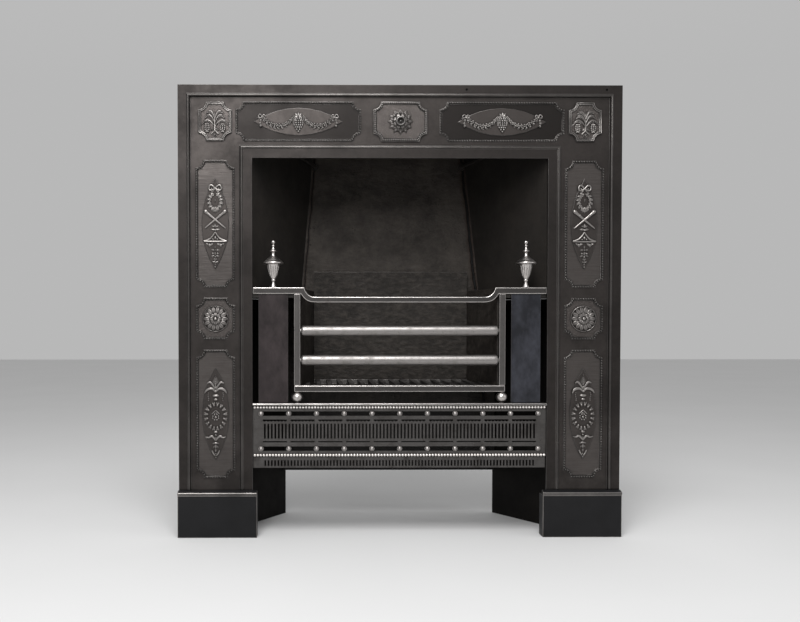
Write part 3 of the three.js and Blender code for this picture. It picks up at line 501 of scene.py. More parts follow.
def steel(name, grain, tone, rough, tarnish, pits, soot=0.9):
    """Old polished steel, scratched one way and dulled in patches."""
    c = colours()

    def paint(tree, where, shader):
        marks = use(tree, steel_marks(), Vector=where, Grain=grain)
        base = blend(tree, maths(tree, "MULTIPLY", marks["Tarnish"], tarnish),
                     tint(c.steel, tone), tint(c.tarnish, tone))
        base = blend(tree, maths(tree, "MULTIPLY", marks["Scratch"], 0.22), base,
                     tint(c.steel, 0.45 * tone))
        base = blend(tree, maths(tree, "MULTIPLY", marks["Pits"], pits), base,
                     tint(c.tarnish, 0.3 * tone))
        # Painted shade: the steel darkens where ambient occlusion finds a corner.
        deep = use(tree, crevices(), Reach=0.004)["Depth"]
        base = blend(tree, maths(tree, "MULTIPLY", deep, soot), base, (0.004, 0.0035, 0.003, 1.0))
        tree.links.new(base, shader.inputs["Base Color"])
        dull = maths(tree, "ADD", maths(tree, "MULTIPLY", marks["Tarnish"], 0.22),
                     maths(tree, "MULTIPLY", marks["Scratch"], 0.1))
        tree.links.new(maths(tree, "ADD", dull, rough), shader.inputs["Roughness"])
        shader.inputs["Metallic"].default_value = 1.0
        height = maths(tree, "SUBTRACT", maths(tree, "MULTIPLY", marks["Scratch"], 0.25),
                       marks["Pits"])
        bump(tree, shader, height, 0.4, 0.18)
    return finish(name, paint)


LENGTHWISE = (10.0, 420.0, 420.0)
UPRIGHT = (420.0, 420.0, 10.0)
EVEN = (160.0, 160.0, 160.0)

# Scratches, tone, roughness, tarnish, pits and, where it differs, painted shade in the corners.
# Tones below 1 darken the one polished steel as painted shade, for the reflection of a dark room, most
# on the rail, posts and fret; the bead steel's tone above 1 is a painted highlight.
STEELS = {
    "Bar steel": (LENGTHWISE, 0.62, 0.35, 0.4, 0.8),
    "Bright steel": (EVEN, 1.1, 0.24, 0.3, 0.2, 0.6),
    "Bead steel": (EVEN, 1.8, 0.36, 0.2, 0.2, 0.35),
    "Stud steel": (EVEN, 0.85, 0.28, 0.4, 0.3, 0.75),
    "Rail steel": (LENGTHWISE, 0.18, 0.28, 0.45, 0.8),
    "Post steel": (UPRIGHT, 0.27, 0.28, 0.45, 0.8),
    "Fret steel": (LENGTHWISE, 0.21, 0.32, 0.6, 0.8),
}


def polished(name):
    return steel(name, *STEELS[name])


def pilaster_steel():
    """Thin plate, tinted plum by heat at the left and blue at the right."""
    c = colours()

    def paint(tree, where, shader):
        split = add(tree, "ShaderNodeSeparateXYZ", {0: where}).outputs
        side = ramp(tree, split["X"], -0.2, 0.2)
        tone = blend(tree, side, tint(c.left_plate), tint(c.right_plate))
        cloud = noise(tree, stretched(tree, where, (1.0, 1.0, 0.6)), 20.0, 9.0, 0.7)
        light = blend(tree, side, tint(c.left_plate, 2.2), tint(c.right_plate, 3.0))
        tone = blend(tree, ramp(tree, cloud, 0.4, 0.62, 0.0, 0.8), tone, light)
        marks = use(tree, steel_marks(), Vector=where, Grain=UPRIGHT)
        tone = blend(tree, maths(tree, "MULTIPLY", marks["Pits"], 0.7), tone,
                     tint(c.tarnish, 0.2))
        tree.links.new(tone, shader.inputs["Base Color"])
        tree.links.new(ramp(tree, cloud, 0.3, 0.7, 0.34, 0.5), shader.inputs["Roughness"])
        shader.inputs["Metallic"].default_value = 0.6
        bump(tree, shader, marks["Scratch"], 0.3, 0.12)
    return finish("Tinted plate", paint)


# ---------------------------------------------------------------- mesh helpers

def dress(obj, *nodes, body="fireplace", slot=None):
    """Seats a finished piece on its body, in place of the nodes it stands for."""
    obj.location = (0.0, 0.0, 0.0)
    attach(obj, body)
    if nodes:
        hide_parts(*nodes)
    return obj


def new_object(name, data):
    made = bpy.data.objects.new(name, data)
    bpy.context.scene.collection.objects.link(made)
    return made


def soften(mesh, degrees=38.0):
    mesh.shade_smooth()
    mesh.set_sharp_from_angle(angle=math.radians(degrees))


def solid_mesh(name, points, faces, materials, degrees=38.0):
    """A mesh from points in millimetres, with its faces turned outwards."""
    mesh = bpy.data.meshes.new(name)
    mesh.from_pydata([[MM * v for v in p] for p in points], [], faces)
    built = bmesh.new()
    built.from_mesh(mesh)
    bmesh.ops.recalc_face_normals(built, faces=built.faces)
    built.to_mesh(mesh)
    built.free()
    for material in materials:
        mesh.materials.append(material)
    soften(mesh, degrees)
    return mesh


def settle(obj):
    """Turns an object with modifiers into a plain mesh, and drops the modifiers."""
    depsgraph = bpy.context.evaluated_depsgraph_get()
    mesh = bpy.data.meshes.new_from_object(obj.evaluated_get(depsgraph))
    name = obj.name
    bpy.data.objects.remove(obj)
    mesh.name = name
    return new_object(name, mesh)


def flattened(obj):
    """Shades broad faces flat and lets the softened edges turn between them."""
    soften(obj.data)
    tool = obj.modifiers.new("Flat faces", "WEIGHTED_NORMAL")
    tool.weight = 90
    tool.keep_sharp = True
    return settle(obj)


def bevelled(obj, width, segments=2, degrees=30.0):
    """Softens the edges, in the second material."""
    tool = obj.modifiers.new("Arris", "BEVEL")
    tool.width = width
    tool.segments = segments
    tool.limit_method = "ANGLE"
    tool.angle_limit = math.radians(degrees)
    tool.material = 1
    tool.use_clamp_overlap = False


def dressed_copy(name, node, materials, arris, choose=None):
    """A copy of a node with softened edges, in the second material given."""
    built = bmesh.new()
    built.from_mesh(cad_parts[node].data)
    bmesh.ops.remove_doubles(built, verts=built.verts, dist=2e-6)
    bmesh.ops.dissolve_limit(built, angle_limit=math.radians(0.4), verts=built.verts,
                             edges=built.edges)
    for face in built.faces:
        face.material_index = choose(face) if choose else 0
    mesh = bpy.data.meshes.new(name)
    built.to_mesh(mesh)
    built.free()
    for material in materials:
        mesh.materials.append(material)
    obj = new_object(name, mesh)
    bevelled(obj, arris)
    return flattened(settle(obj))


SIDES = ("left", "right")


def dress_set(rows, slot):
    """Finishes copies of nodes. Names that end in _ stand for a left and a right piece."""
    for name, node, faces, edges, arris, *body in rows:
        for side in SIDES if name.endswith("_") else ("",):
            made = dressed_copy(name + side, node + side, (faces, edges), arris)
            dress(made, node + side, body=body[0] if body else "fireplace", slot=slot)


def sides_between(count, first, second):
    """Faces between two rings of points, given where each ring starts."""
    return [[first + i, first + (i + 1) % count, second + (i + 1) % count, second + i]
            for i in range(count)]


def turned(profile, steps, place, flute=None):
    """Points and faces of a profile of (radius, along) spun round an axis."""
    points, rings, faces = [], [], []
    for radius, along in profile:
        if radius < 1e-6:
            rings.append([len(points)])
            points.append(place(0.0, 0.0, along))
            continue
        ring = []
        for i in range(steps):
            angle = 2 * math.pi * i / steps
            reach = radius * (flute(angle, along) if flute else 1.0)
            ring.append(len(points))
            points.append(place(reach * math.cos(angle), reach * math.sin(angle), along))
        rings.append(ring)
    for a, b in zip(rings, rings[1:]):
        for i in range(steps):
            j = (i + 1) % steps
            corners = [a[i % len(a)], a[j % len(a)], b[j % len(b)], b[i % len(b)]]
            loop = list(dict.fromkeys(corners))
            if len(loop) > 2:
                faces.append(loop)
    return points, faces


def rounded(profile, times, share):
    """Cuts the corners of a profile, keeping its two ends."""
    for _ in range(times):
        cut = [profile[0]]
        for (r0, z0), (r1, z1) in zip(profile, profile[1:]):
            cut.append((r0 + share * (r1 - r0), z0 + share * (z1 - z0)))
            cut.append((r1 - share * (r1 - r0), z1 - share * (z1 - z0)))
        cut.append(profile[-1])
        profile = cut
    return profile


def joined(parts):
    points, faces = [], []
    for some, loops in parts:
        start = len(points)
        points += some
        faces += [[start + i for i in loop] for loop in loops]
    return points, faces


def turned_piece(name, node, profile, steps, place, material, degrees=50.0, flute=None):
    """A turned piece of polished steel in place of a node."""
    mesh = solid_mesh(name, *turned(profile, steps, place, flute), [material], degrees)
    dress(new_object(name, mesh), node, slot="polished_steel")


def scooped(x, z, width, height, inset=0.0, scoop=SCOOP, steps=10):
    """A rectangle with hollow quarter rounds for corners, drawn in by an inset."""
    points = []
    for sx, sz in ((1, 1), (-1, 1), (-1, -1), (1, -1)):
        corner = (x + sx * width / 2, z + sz * height / 2)
        reach = scoop + inset
        first = math.asin(min(1.0, inset / reach))
        run = []
        for i in range(steps + 1):
            angle = first + (math.pi / 2 - 2 * first) * i / steps
            run.append((corner[0] - sx * reach * math.cos(angle),
                        corner[1] - sz * reach * math.sin(angle)))
        points += run if sx * sz < 0 else run[::-1]
    return points


# ---------------------------------------------------------------- carving

def bend(points, count):
    """A smooth path through the points."""
    ends = [points[0], *points, points[-1]]
    path = []
    for i in range(count):
        t = i / (count - 1) * (len(points) - 1)
        k = min(int(t), len(points) - 2)
        t -= k
        a, b, c, d = (Vector(p) for p in ends[k:k + 4])
        path.append(tuple(0.5 * (2 * b + (c - a) * t + (2 * a - 5 * b + 4 * c - d) * t * t
                                 + (3 * b - a - 3 * c + d) * t ** 3)))
    return path


class Carving:
    """Domed strokes and beads laid on a flat ground, gathered into one mesh.

    x runs right and z up from the middle of the motif, and a rise stands
    forward of the ground, all in millimetres."""

    def __init__(self):
        self.points, self.faces, self.lift, self.most = [], [], [], 1.0
        self.at(0.0, 0.0, 0.0)

    def at(self, x, z, depth, flip=1):
        self.x, self.z, self.depth, self.flip = x, z, depth, flip

    def add(self, x, z, rise, most):
        self.points.append((self.x + self.flip * x, FACE + self.depth - rise, self.z + z))
        self.lift.append(max(0.0, min(1.0, rise / most / self.most)))
        return len(self.points) - 1

    def stroke(self, path, halves, rises, sides=6, crease=0.0, most=2.6):
        rings = []
        for i, (x, z) in enumerate(path):
            before, after = path[max(i - 1, 0)], path[min(i + 1, len(path) - 1)]
            dx, dz = after[0] - before[0], after[1] - before[1]
            far = math.hypot(dx, dz) or 1.0
            ring = []
            for j in range(sides + 1):
                angle = math.pi * j / sides
                across = math.cos(angle) * halves[i]
                rise = math.sin(angle) ** 0.8 if 0 < j < sides else -0.25
                if rise > 0:
                    rise *= rises[i] * (1 - crease * math.exp(-(math.cos(angle) / 0.32) ** 2))
                ring.append(self.add(x - dz / far * across, z + dx / far * across, rise, most))
            rings.append(ring)
        for a, b in zip(rings, rings[1:]):
            for j in range(sides + 1):
                k = (j + 1) % (sides + 1)
                self.faces.append([a[j], a[k], b[k], b[j]])
        self.faces += [rings[0][::-1], rings[-1]]

    def bead(self, x, z, radius, rise, tall=None, turn=0.0, sides=10, rings=3, most=2.6):
        tall = tall or radius
        c, s = math.cos(math.radians(turn)), math.sin(math.radians(turn))
        loops = []
        for k in range(rings):
            angle = math.pi / 2 * k / rings
            loop = []
            for i in range(sides):
                a = 2 * math.pi * i / sides
                u = radius * math.cos(angle) * math.cos(a)
                v = tall * math.cos(angle) * math.sin(a)
                height = rise * math.sin(angle) if k else -0.25
                loop.append(self.add(x + u * c - v * s, z + u * s + v * c, height, most))
            loops.append(loop)
        top = self.add(x, z, rise, most)
        for a, b in zip(loops, loops[1:]):
            for i in range(sides):
                j = (i + 1) % sides
                self.faces.append([a[i], a[j], b[j], b[i]])
        for i in range(sides):
            self.faces.append([loops[-1][i], loops[-1][(i + 1) % sides], top])
        self.faces.append(loops[0][::-1])

    def ribbon(self, points, half, rise, count, ends=0.5):
        """A strap of even width through the points, narrower at its ends."""
        path = bend(points, count)
        halves = [half * (ends + (1 - ends) * math.sin(math.pi * i / (count - 1)) ** 0.5)
                  for i in range(count)]
        self.stroke(path, halves, [rise] * count)

    def leaf(self, x, z, heading, long, wide, rise=2.2, curl=0.0, crease=0.4, count=8, blunt=0.75,
             **more):
        """A leaf from its foot, heading in degrees from the right."""
        path, halves, rises = [], [], []
        for i in range(count):
            t = i / (count - 1)
            path.append((x, z))
            angle = math.radians(heading + curl * t)
            x += long / (count - 1) * math.cos(angle)
            z += long / (count - 1) * math.sin(angle)
            halves.append(wide / 2 * max(0.07, math.sin(math.pi * min(1.0, t ** blunt)) ** 0.8))
            rises.append(rise * (0.4 + 0.6 * math.sin(math.pi * min(1.0, t + 0.12))))
        self.stroke(path, halves, rises, crease=crease, **more)

    def loop(self, x, z, heading, long, wide, half, rise):
        """A ribbon loop of a bow."""
        c, s = math.cos(math.radians(heading)), math.sin(math.radians(heading))
        path = []
        for i in range(13):
            t = i / 12
            u, v = long * math.sin(math.pi * t), wide / 2 * math.sin(2 * math.pi * t)
            path.append((x + u * c - v * s, z + u * s + v * c))
        self.stroke(path, [half] * 13, [rise] * 13)

    def flower(self, x, z, radius, rise=2.0, petals=5, turn=0.0):
        for i in range(petals):
            a = math.radians(turn) + 2 * math.pi * i / petals
            self.bead(x + radius * 0.58 * math.cos(a), z + radius * 0.58 * math.sin(a),
                      radius * 0.5, rise, sides=6, rings=2)
        self.bead(x, z, radius * 0.34, rise * 1.3, sides=6, rings=2)

    def husk(self, x, z, long, wide, rise=2.2):
        """A bell flower hanging down: a bud and three pointed lobes."""
        self.bead(x, z, wide * 0.2, rise, sides=8)
        for heading, share in ((-126, 0.8), (-54, 0.8), (-90, 1.0)):
            self.leaf(x, z + long * 0.05, heading, long * share, wide * 0.46, rise,
                      curl=(heading + 90) * -0.55, sides=4, count=6)

    def finished(self, name):
        mesh = solid_mesh(name, self.points, self.faces, [carved_iron()], 60.0)
        mesh.attributes.new("lift", "FLOAT", "POINT").data.foreach_set("value", self.lift)
        return dress(new_object(name, mesh), slot="frame_iron")


def half_swag(c):
    """One side of a lintel motif: a flower swag from the middle to a bow."""
    line = bend([(11, 9), (17, 1), (29, -7.5), (43, -11), (57, -8.5), (70, -0.5), (79, 8)], 11)
    for i, (x, z) in enumerate(line):
        fat = math.sin(math.pi * i / 10)
        radius = 4.0 + 1.2 * fat
        c.flower(x, z + 1.6 * fat, radius, 3.8 + 1.0 * fat, 4, 37.0 * i)
        if fat > 0.25:
            c.bead(x + 3.4, z - 3.6 * fat, 2.7, 3.4, sides=8)
            c.leaf(x + 1.0, z - 3.6 * fat, -84 + 9 * (i - 5), 5.6, 4.4, 2.0, sides=4, count=5)
    c.loop(82, 9, 34, 8.5, 7.5, 1.3, 2.4)
    c.loop(82, 9, 150, 8.0, 6.5, 1.3, 2.4)
    c.bead(82, 9, 2.6, 3.0)
    for x, z, long in ((84.5, 5.0, 7.0), (86.0, -1.5, 6.5), (85.0, -7.5, 6.5)):
        c.husk(x, z, long, 7.0, 2.2)
    c.leaf(84, 8, 8, 9.0, 3.6, 1.9, curl=-18, sides=4, count=6)


def lintel_middle(c):
    """Leaf tuft and hanging berry bunch between the two halves."""
    for side in (1, -1):
        for heading, long in ((90 - side * 30, 12.5), (90 - side * 72, 11.5)):
            c.leaf(0, 10, heading, long, 6.0, 2.8, curl=-side * 30)
        c.leaf(side * 2, 8, -90 + side * 58, 14.0, 6.0, 2.6, curl=side * -50)
        c.leaf(side * 10, 2, -90, 13.0, 4.4, 2.2, curl=side * -16)
    c.leaf(0, 9, 90, 13.5, 5.6, 3.0)
    for k, (z, wide) in enumerate(((6.5, 7.0), (1.6, 10.0), (-3.3, 10.6), (-8.2, 9.2), (-13.1, 6.6),
                                   (-17.8, 3.2), (-22.2, 0.0))):
        count = max(1, round(wide / 2.5) + 1)
        for i in range(count):
            x = 0.0 if count == 1 else -wide + 2 * wide * i / (count - 1)
            c.bead(x, z, 2.9, 4.6 - 0.26 * abs(x) - 0.1 * k, sides=8, most=3.8)


def half_torches(c):
    """One side of an upper jamb motif, top to bottom."""
    c.ribbon([(0.5, 98), (4.5, 92), (9, 85)], 0.8, 1.0, 8)
    c.loop(0, 79.5, 12, 14.0, 12.0, 2.1, 2.8)
    c.bead(8, 79.5, 2.0, 2.4)
    c.ribbon([(1, 78), (5, 73), (9, 72)], 1.4, 1.8, 8)
    for i in range(7):
        a = math.radians(74 - 26 * i)
        x, z = 13.0 * math.cos(a), 50.5 + 17.0 * math.sin(a)
        out = math.degrees(a)
        c.leaf(x, z, out - 42, 8.4, 6.6, 3.2, curl=-20, sides=4, count=6)
        c.leaf(x, z, out - 128, 8.0, 6.0, 3.0, curl=20, sides=4, count=6)
        c.bead(x, z, 2.5, 3.6, sides=8)
    for heading, long in ((-70, 10.0), (-30, 10.0)):
        c.leaf(1, 35, heading, long, 6.4, 2.8, curl=30)
    shaft = bend([(-22, -8.5), (-11, 0.6), (0, 9.6), (11, 18.8), (20, 26.5)], 12)
    c.stroke(shaft, [1.7 + 0.19 * i for i in range(12)], [2.6 + 0.08 * i for i in range(12)], most=3.0)
    c.bead(11.0, 18.8, 4.2, 4.0, 2.6, turn=130, most=3.0)
    c.bead(21.0, 27.4, 4.9, 4.2, 6.4, turn=-50, sides=12, most=3.0)
    c.bead(-22.5, -9, 1.9, 2.2, sides=8)
    c.leaf(1, -7, 38, 8.0, 4.2, 2.2, curl=-30, sides=4, count=6)
    c.leaf(0, -13, 18, 12.0, 5.6, 2.7, curl=-34)
    tent = bend([(0.6, -19), (5.5, -26.5), (13, -34), (24, -38.5)], 12)
    c.stroke(tent, [1.7 + 0.07 * i for i in range(12)], [2.6] * 12)
    c.ribbon([(0, -39.5), (12, -39.5), (25, -39.0)], 2.0, 2.9, 8, ends=1.0)
    c.bead(25.0, -38.5, 2.3, 2.6, sides=8)
    c.bead(5.0, -34.5, 2.3, 2.4, sides=8)
    c.leaf(4.5, -43, -28, 12.0, 5.4, 2.5, curl=-44)
    c.leaf(20.5, -43, -152, 9.0, 4.8, 2.4, curl=40)
    c.leaf(12.5, -44, -90, 9.0, 6.0, 2.5)
    c.leaf(2.0, -58.5, 12, 8.5, 4.0, 2.4, curl=-30, sides=4, count=6)
    c.bead(5.4, -66.5, 3.0, 2.8, 2.4)
    c.leaf(2.0, -70.5, -10, 9.5, 4.4, 2.4, curl=-32, sides=4, count=6)
    c.leaf(1.0, -77, -50, 6.0, 3.6, 2.0, curl=-20, sides=4, count=6)
    c.ribbon([(0, -86), (5.5, -85)], 1.5, 2.2, 5)


def torches_middle(c):
    c.bead(0, 79.5, 2.8, 3.2)
    c.leaf(0, 58, -90, 10.0, 3.6, 1.6)
    c.bead(0, 36, 3.4, 3.6, most=3.0)
    c.leaf(0, 36, -90, 12.0, 6.6, 3.0)
    c.bead(0, 9.6, 3.2, 3.6, most=3.0)
    c.leaf(0, -9, 90, 10.5, 5.6, 2.7)
    c.bead(0, -13.5, 2.8, 3.0)
    c.bead(0, -19.5, 2.4, 3.0)
    c.bead(0, -31, 3.0, 2.8, 3.8)
    c.leaf(0, -25, -90, 8.0, 3.4, 2.2)
    c.leaf(0, -48, -90, 9.0, 4.0, 2.2)
    c.bead(0, -58.5, 1.9, 2.4, sides=8)
    c.leaf(0, -62, -90, 11.0, 5.0, 2.6)
    c.bead(0, -74, 2.4, 2.8)
    c.leaf(0, -77, -90, 9.0, 4.0, 2.2)
    c.leaf(0, -88, -90, 7.0, 4.0, 2.0)
    c.bead(0, -97, 2.2, 2.4, sides=8)


def half_wreath(c):
    """One side of a lower jamb motif, top to bottom."""
    for k in range(4):
        c.leaf(0, 66 + 3 * k, 58 + 7 * k, 15 - k, 3.4, 1.6, curl=-12, sides=4, count=6)
    top = bend([(0.5, 56), (6, 66), (12, 72.5), (18.5, 70.5)], 10)
    c.stroke(top, [1.3, 1.7, 2.1, 2.4, 2.6, 2.7, 2.6, 2.3, 1.7, 0.9], [2.6] * 10, crease=0.25)
    lower = bend([(0.5, 50), (6, 57), (15, 57.5), (22, 53), (25, 47)], 12)
    c.stroke(lower, [1.5, 2.0, 2.5, 2.8, 3.0, 3.1, 3.1, 2.9, 2.6, 2.1, 1.5, 0.8], [2.8] * 12,
             crease=0.25)
    for k in range(5):
        c.bead(16.5 + 0.9 * math.sin(1.4 * k), 48 - 4.2 * k, 1.5, 1.7, 2.0, sides=8)
    for i in range(8):
        a = math.radians(90 - (i + 0.5) * 22.5)
        x, z = 21.0 * math.cos(a), -5 + 27.0 * math.sin(a)
        out = math.degrees(math.atan2(27.0 * math.sin(a), 21.0 * math.cos(a)))
        c.bead(x - 1.2 * math.cos(a), z - 1.2 * math.sin(a), 3.6, 3.6, 2.5, turn=out, sides=8)
        for turn in (-32, 32):
            c.leaf(x, z, out + turn, 7.2, 4.0, 2.6, curl=-turn, sides=4, count=5)
    c.ribbon([(0, 9), (4.5, 4.5), (9, 0)], 1.5, 2.2, 6)
    c.ribbon([(0, 3.5), (3.5, 0.5)], 1.2, 1.8, 4)
    for i in range(4):
        a = math.radians(68 - 45 * i)
        c.bead(7.0 * math.cos(a), -7 + 6.4 * math.sin(a), 2.3, 2.2, sides=8)
    scroll = bend([(0.5, -60), (4.5, -53.5), (10, -50), (16, -53), (23, -51)], 12)
    c.stroke(scroll, [1.4, 1.8, 2.2, 2.5, 2.7, 2.8, 2.7, 2.5, 2.2, 1.9, 1.5, 1.0], [2.7] * 12,
             crease=0.25)
    c.leaf(1, -66, 4, 8.0, 4.0, 2.4, curl=-30, sides=4, count=6)
    c.leaf(1, -71, -40, 9.0, 3.6, 2.0, curl=-30, sides=4, count=6)
    c.ribbon([(8.5, -82), (6, -88), (1, -95)], 2.0, 2.6, 6)


def wreath_middle(c):
    for k in range(7):
        c.bead(0, 66 + 4 * k, 1.9 - 0.13 * k, 2.4 - 0.15 * k, sides=8)
    c.bead(0, 61, 2.6, 3.0)
    c.bead(0, 52, 3.2, 3.2)
    c.bead(0, 42, 8.6, 2.9, 3.4, sides=16)
    c.bead(0, 33.5, 5.0, 3.1, 3.0, sides=12)
    c.bead(0, -7, 3.2, 3.0)
    c.bead(0, -40.5, 5.0, 3.2, 3.2, sides=12)
    c.bead(0, -47, 2.2, 2.6, sides=8)
    c.leaf(0, -50, -90, 12.0, 4.6, 2.6)
    c.bead(0, -65.5, 5.6, 3.0, 2.8, sides=12)
    c.leaf(0, -68, -90, 12.0, 5.4, 2.7)
    c.leaf(0, -78, -90, 10.0, 4.6, 2.4)
    c.bead(0, -90, 1.8, 2.2, sides=8)
    c.bead(0, -98, 1.9, 2.0, sides=8)


def palms(c):
    """One side of a corner plaque: drooping fronds over a bunch of dates."""
    full = [1.2, 1.6, 1.9, 2.1, 2.2, 2.2, 2.1, 1.8, 1.4, 0.8]
    for points in ([(0.8, 6), (4, 17), (9, 23.5), (16, 22)], [(1.2, -2), (6, 10), (13, 15), (19, 11.5)],
                   [(2, -9), (9, 0), (18, 3.5), (27, -3)]):
        c.stroke(bend(points, 10), full, [2.8] * 10, crease=0.3)
        for k, (x, z) in enumerate(bend(points, 9)[3:]):
            c.leaf(x, z - 1.0, -76 + 4 * k, 6.4, 3.0, 2.6, curl=8, sides=4, count=5)
    for z, wide in ((-6.5, 3.4), (-10.5, 4.6), (-14.5, 5.0), (-18.5, 4.4), (-22.5, 2.4)):
        for k in (-1, 0, 1):
            c.bead(17.5 + k * wide * 0.9, z - 0.8 * abs(k), 2.7, 3.9, sides=8)
    c.leaf(1, -14, -38, 11.0, 4.6, 2.6, curl=-14)
    c.ribbon([(0, -20), (4.5, -25), (9, -28.5)], 2.0, 2.8, 6)
    c.ribbon([(1, -27), (4, -31.5), (1, -36)], 1.0, 1.5, 6)


def palms_middle(c):
    c.stroke(bend([(0, -20), (0, -6), (0, 10)], 8), [2.6, 2.4, 2.2, 2.0, 1.8, 1.6, 1.4, 1.0],
             [3.0] * 8, crease=0.2)
    c.bead(0, -21, 3.2, 3.4)
    c.leaf(0, 8, 90, 13.0, 4.4, 2.4)
    c.leaf(0, -27, -90, 8.0, 4.4, 2.2)


def ring(c, radius, half, rise, steps):
    path = [(radius * math.cos(2 * math.pi * i / steps), radius * math.sin(2 * math.pi * i / steps))
            for i in range(steps + 1)]
    c.stroke(path, [half] * (steps + 1), [rise] * (steps + 1), sides=4)


def petals(c, count, foot, tip, wide, rise, turn=0.0, crease=0.45):
    for i in range(count):
        heading = turn + 360 * i / count
        a = math.radians(heading)
        c.leaf(foot * math.cos(a), foot * math.sin(a), heading, tip - foot, wide, rise,
               crease=crease, blunt=1.35)


def motif(c, x, z, depth, half, middle):
    """Lays a motif from its half, used twice, and its middle."""
    for flip in (-1, 1):
        c.at(x, z, depth, flip)
        half(c)
    c.at(x, z, depth)
    middle(c)


# ---------------------------------------------------------------- repeated work

def grown(name, tree, values, base=None):
    """The plain mesh that a Geometry Nodes tree makes from a base."""
    obj = new_object(name, base or bpy.data.meshes.new(name))
    modifier = obj.modifiers.new("Pattern", "NODES")
    modifier.node_group = tree
    for item in tree.interface.items_tree:
        if item.item_type == "SOCKET" and item.in_out == "INPUT" and item.name in values:
            modifier[item.identifier] = values[item.name]
    return settle(obj)


def ended(tree, geometry, takes, gives):
    """Ends a pattern as real geometry in the material given."""
    real = add(tree, "GeometryNodeRealizeInstances", {0: geometry})
    done = add(tree, "GeometryNodeSetMaterial",
               {"Geometry": real.outputs[0], "Material": takes["Material"]})
    tree.links.new(done.outputs[0], gives[0])


def level_line(tree, takes, reach, **start):
    """Count points in a level line about the middle, at the depth and height given."""
    first = add(tree, "ShaderNodeCombineXYZ", {"X": maths(tree, "MULTIPLY", reach, -0.5), **start})
    step = add(tree, "ShaderNodeCombineXYZ", {"X": takes["Pitch"]})
    return add(tree, "GeometryNodeMeshLine", {
        "Count": takes["Count"], "Start Location": first.outputs[0], "Offset": step.outputs[0]})


def paths(name, outlines, closed=True):
    """Straight-sided curves through points of (x, depth, z) in millimetres."""
    curve = bpy.data.curves.new(name, "CURVE")
    curve.dimensions = "3D"
    for outline in outlines:
        spline = curve.splines.new("POLY")
        spline.points.add(len(outline) - 1)
        for point, (x, depth, z) in zip(spline.points, outline):
            point.co = (x * MM, (FACE + depth) * MM, z * MM, 1.0)
        spline.use_cyclic_u = closed
    return curve


def bead_tree():
    """Beads set at an even pitch along every curve."""
    def fill(tree, takes, gives):
        even = add(tree, "GeometryNodeResampleCurve",
                   {"Curve": takes["Geometry"], "Length": takes["Pitch"]}, mode="LENGTH")
        ball = add(tree, "GeometryNodeMeshIcoSphere", {"Radius": 1.0, "Subdivisions": 2})
        ball = add(tree, "GeometryNodeSetShadeSmooth", {0: ball.outputs["Mesh"]})
        half = maths(tree, "DIVIDE", takes["Diameter"], 2.0)
        size = add(tree, "ShaderNodeCombineXYZ", {
            "X": half, "Y": maths(tree, "MULTIPLY", half, takes["Depth"]), "Z": half})
        row = add(tree, "GeometryNodeInstanceOnPoints", {
            "Points": even.outputs[0], "Instance": ball.outputs[0], "Scale": size.outputs[0]})
        ended(tree, row.outputs[0], takes, gives)
    return once("Bead rows", "GeometryNodeTree", [
        ("Geometry", "Geometry"), ("Pitch", "Float", 0.006),
        ("Diameter", "Float", 0.0035), ("Depth", "Float", 0.8),
        ("Material", "Material"),
    ], [("Geometry", "Geometry")], fill)


def fillet_tree():
    """A fine half-round line swept along every curve."""
    def fill(tree, takes, gives):
        section = add(tree, "GeometryNodeCurvePrimitiveCircle",
                      {"Resolution": 8, "Radius": maths(tree, "DIVIDE", takes["Width"], 2.0)})
        swept = add(tree, "GeometryNodeCurveToMesh",
                    {"Curve": takes["Geometry"], "Profile Curve": section.outputs["Curve"]})
        smooth = add(tree, "GeometryNodeSetShadeSmooth", {0: swept.outputs[0]})
        ended(tree, smooth.outputs[0], takes, gives)
    return once("Fillet lines", "GeometryNodeTree", [
        ("Geometry", "Geometry"), ("Width", "Float", 0.0013),
        ("Material", "Material"),
    ], [("Geometry", "Geometry")], fill)


def slot_row():
    """A level row of slots, scalloped along the lower edge if asked."""
    def fill(tree, takes, gives):
        outline = add(tree, "GeometryNodeCurvePrimitiveQuadrilateral",
                      {"Width": takes["Width"], "Height": takes["Height"]})
        even = add(tree, "GeometryNodeSubdivideCurve",
                   {"Curve": outline.outputs[0], "Cuts": takes["Cuts"]})
        place = add(tree, "GeometryNodeInputPosition").outputs[0]
        split = add(tree, "ShaderNodeSeparateXYZ", {0: place}).outputs
        along = maths(tree, "DIVIDE", split["X"], takes["Width"])
        wave = maths(tree, "ABSOLUTE", maths(tree, "SINE", maths(
            tree, "MULTIPLY", maths(tree, "ADD", along, 0.5),
            maths(tree, "MULTIPLY", takes["Scallops"], math.pi))))
        below = maths(tree, "LESS_THAN", split["Y"], 0.0)
        drop = maths(tree, "MULTIPLY", maths(tree, "MULTIPLY", wave, below), takes["Scallop"])
        shift = add(tree, "ShaderNodeCombineXYZ", {"Y": maths(tree, "MULTIPLY", drop, -1.0)})
        shaped = add(tree, "GeometryNodeSetPosition",
                     {"Geometry": even.outputs[0], "Offset": shift.outputs[0]})
        reach = maths(tree, "MULTIPLY", maths(tree, "SUBTRACT", takes["Count"], 1.0), takes["Pitch"])
        line = level_line(tree, takes, reach, Y=takes["Level"])
        row = add(tree, "GeometryNodeInstanceOnPoints",
                  {"Points": line.outputs[0], "Instance": shaped.outputs[0]})
        real = add(tree, "GeometryNodeRealizeInstances", {0: row.outputs[0]})
        tree.links.new(real.outputs[0], gives[0])
    return once("Slot row", "GeometryNodeTree", [
        ("Count", "Int", 10), ("Pitch", "Float", 0.063),
        ("Width", "Float", 0.05), ("Height", "Float", 0.009),
        ("Level", "Float", 0.24), ("Cuts", "Int", 0),
        ("Scallops", "Float", 7.0), ("Scallop", "Float", 0.0),
    ], [("Curves", "Geometry")], fill)


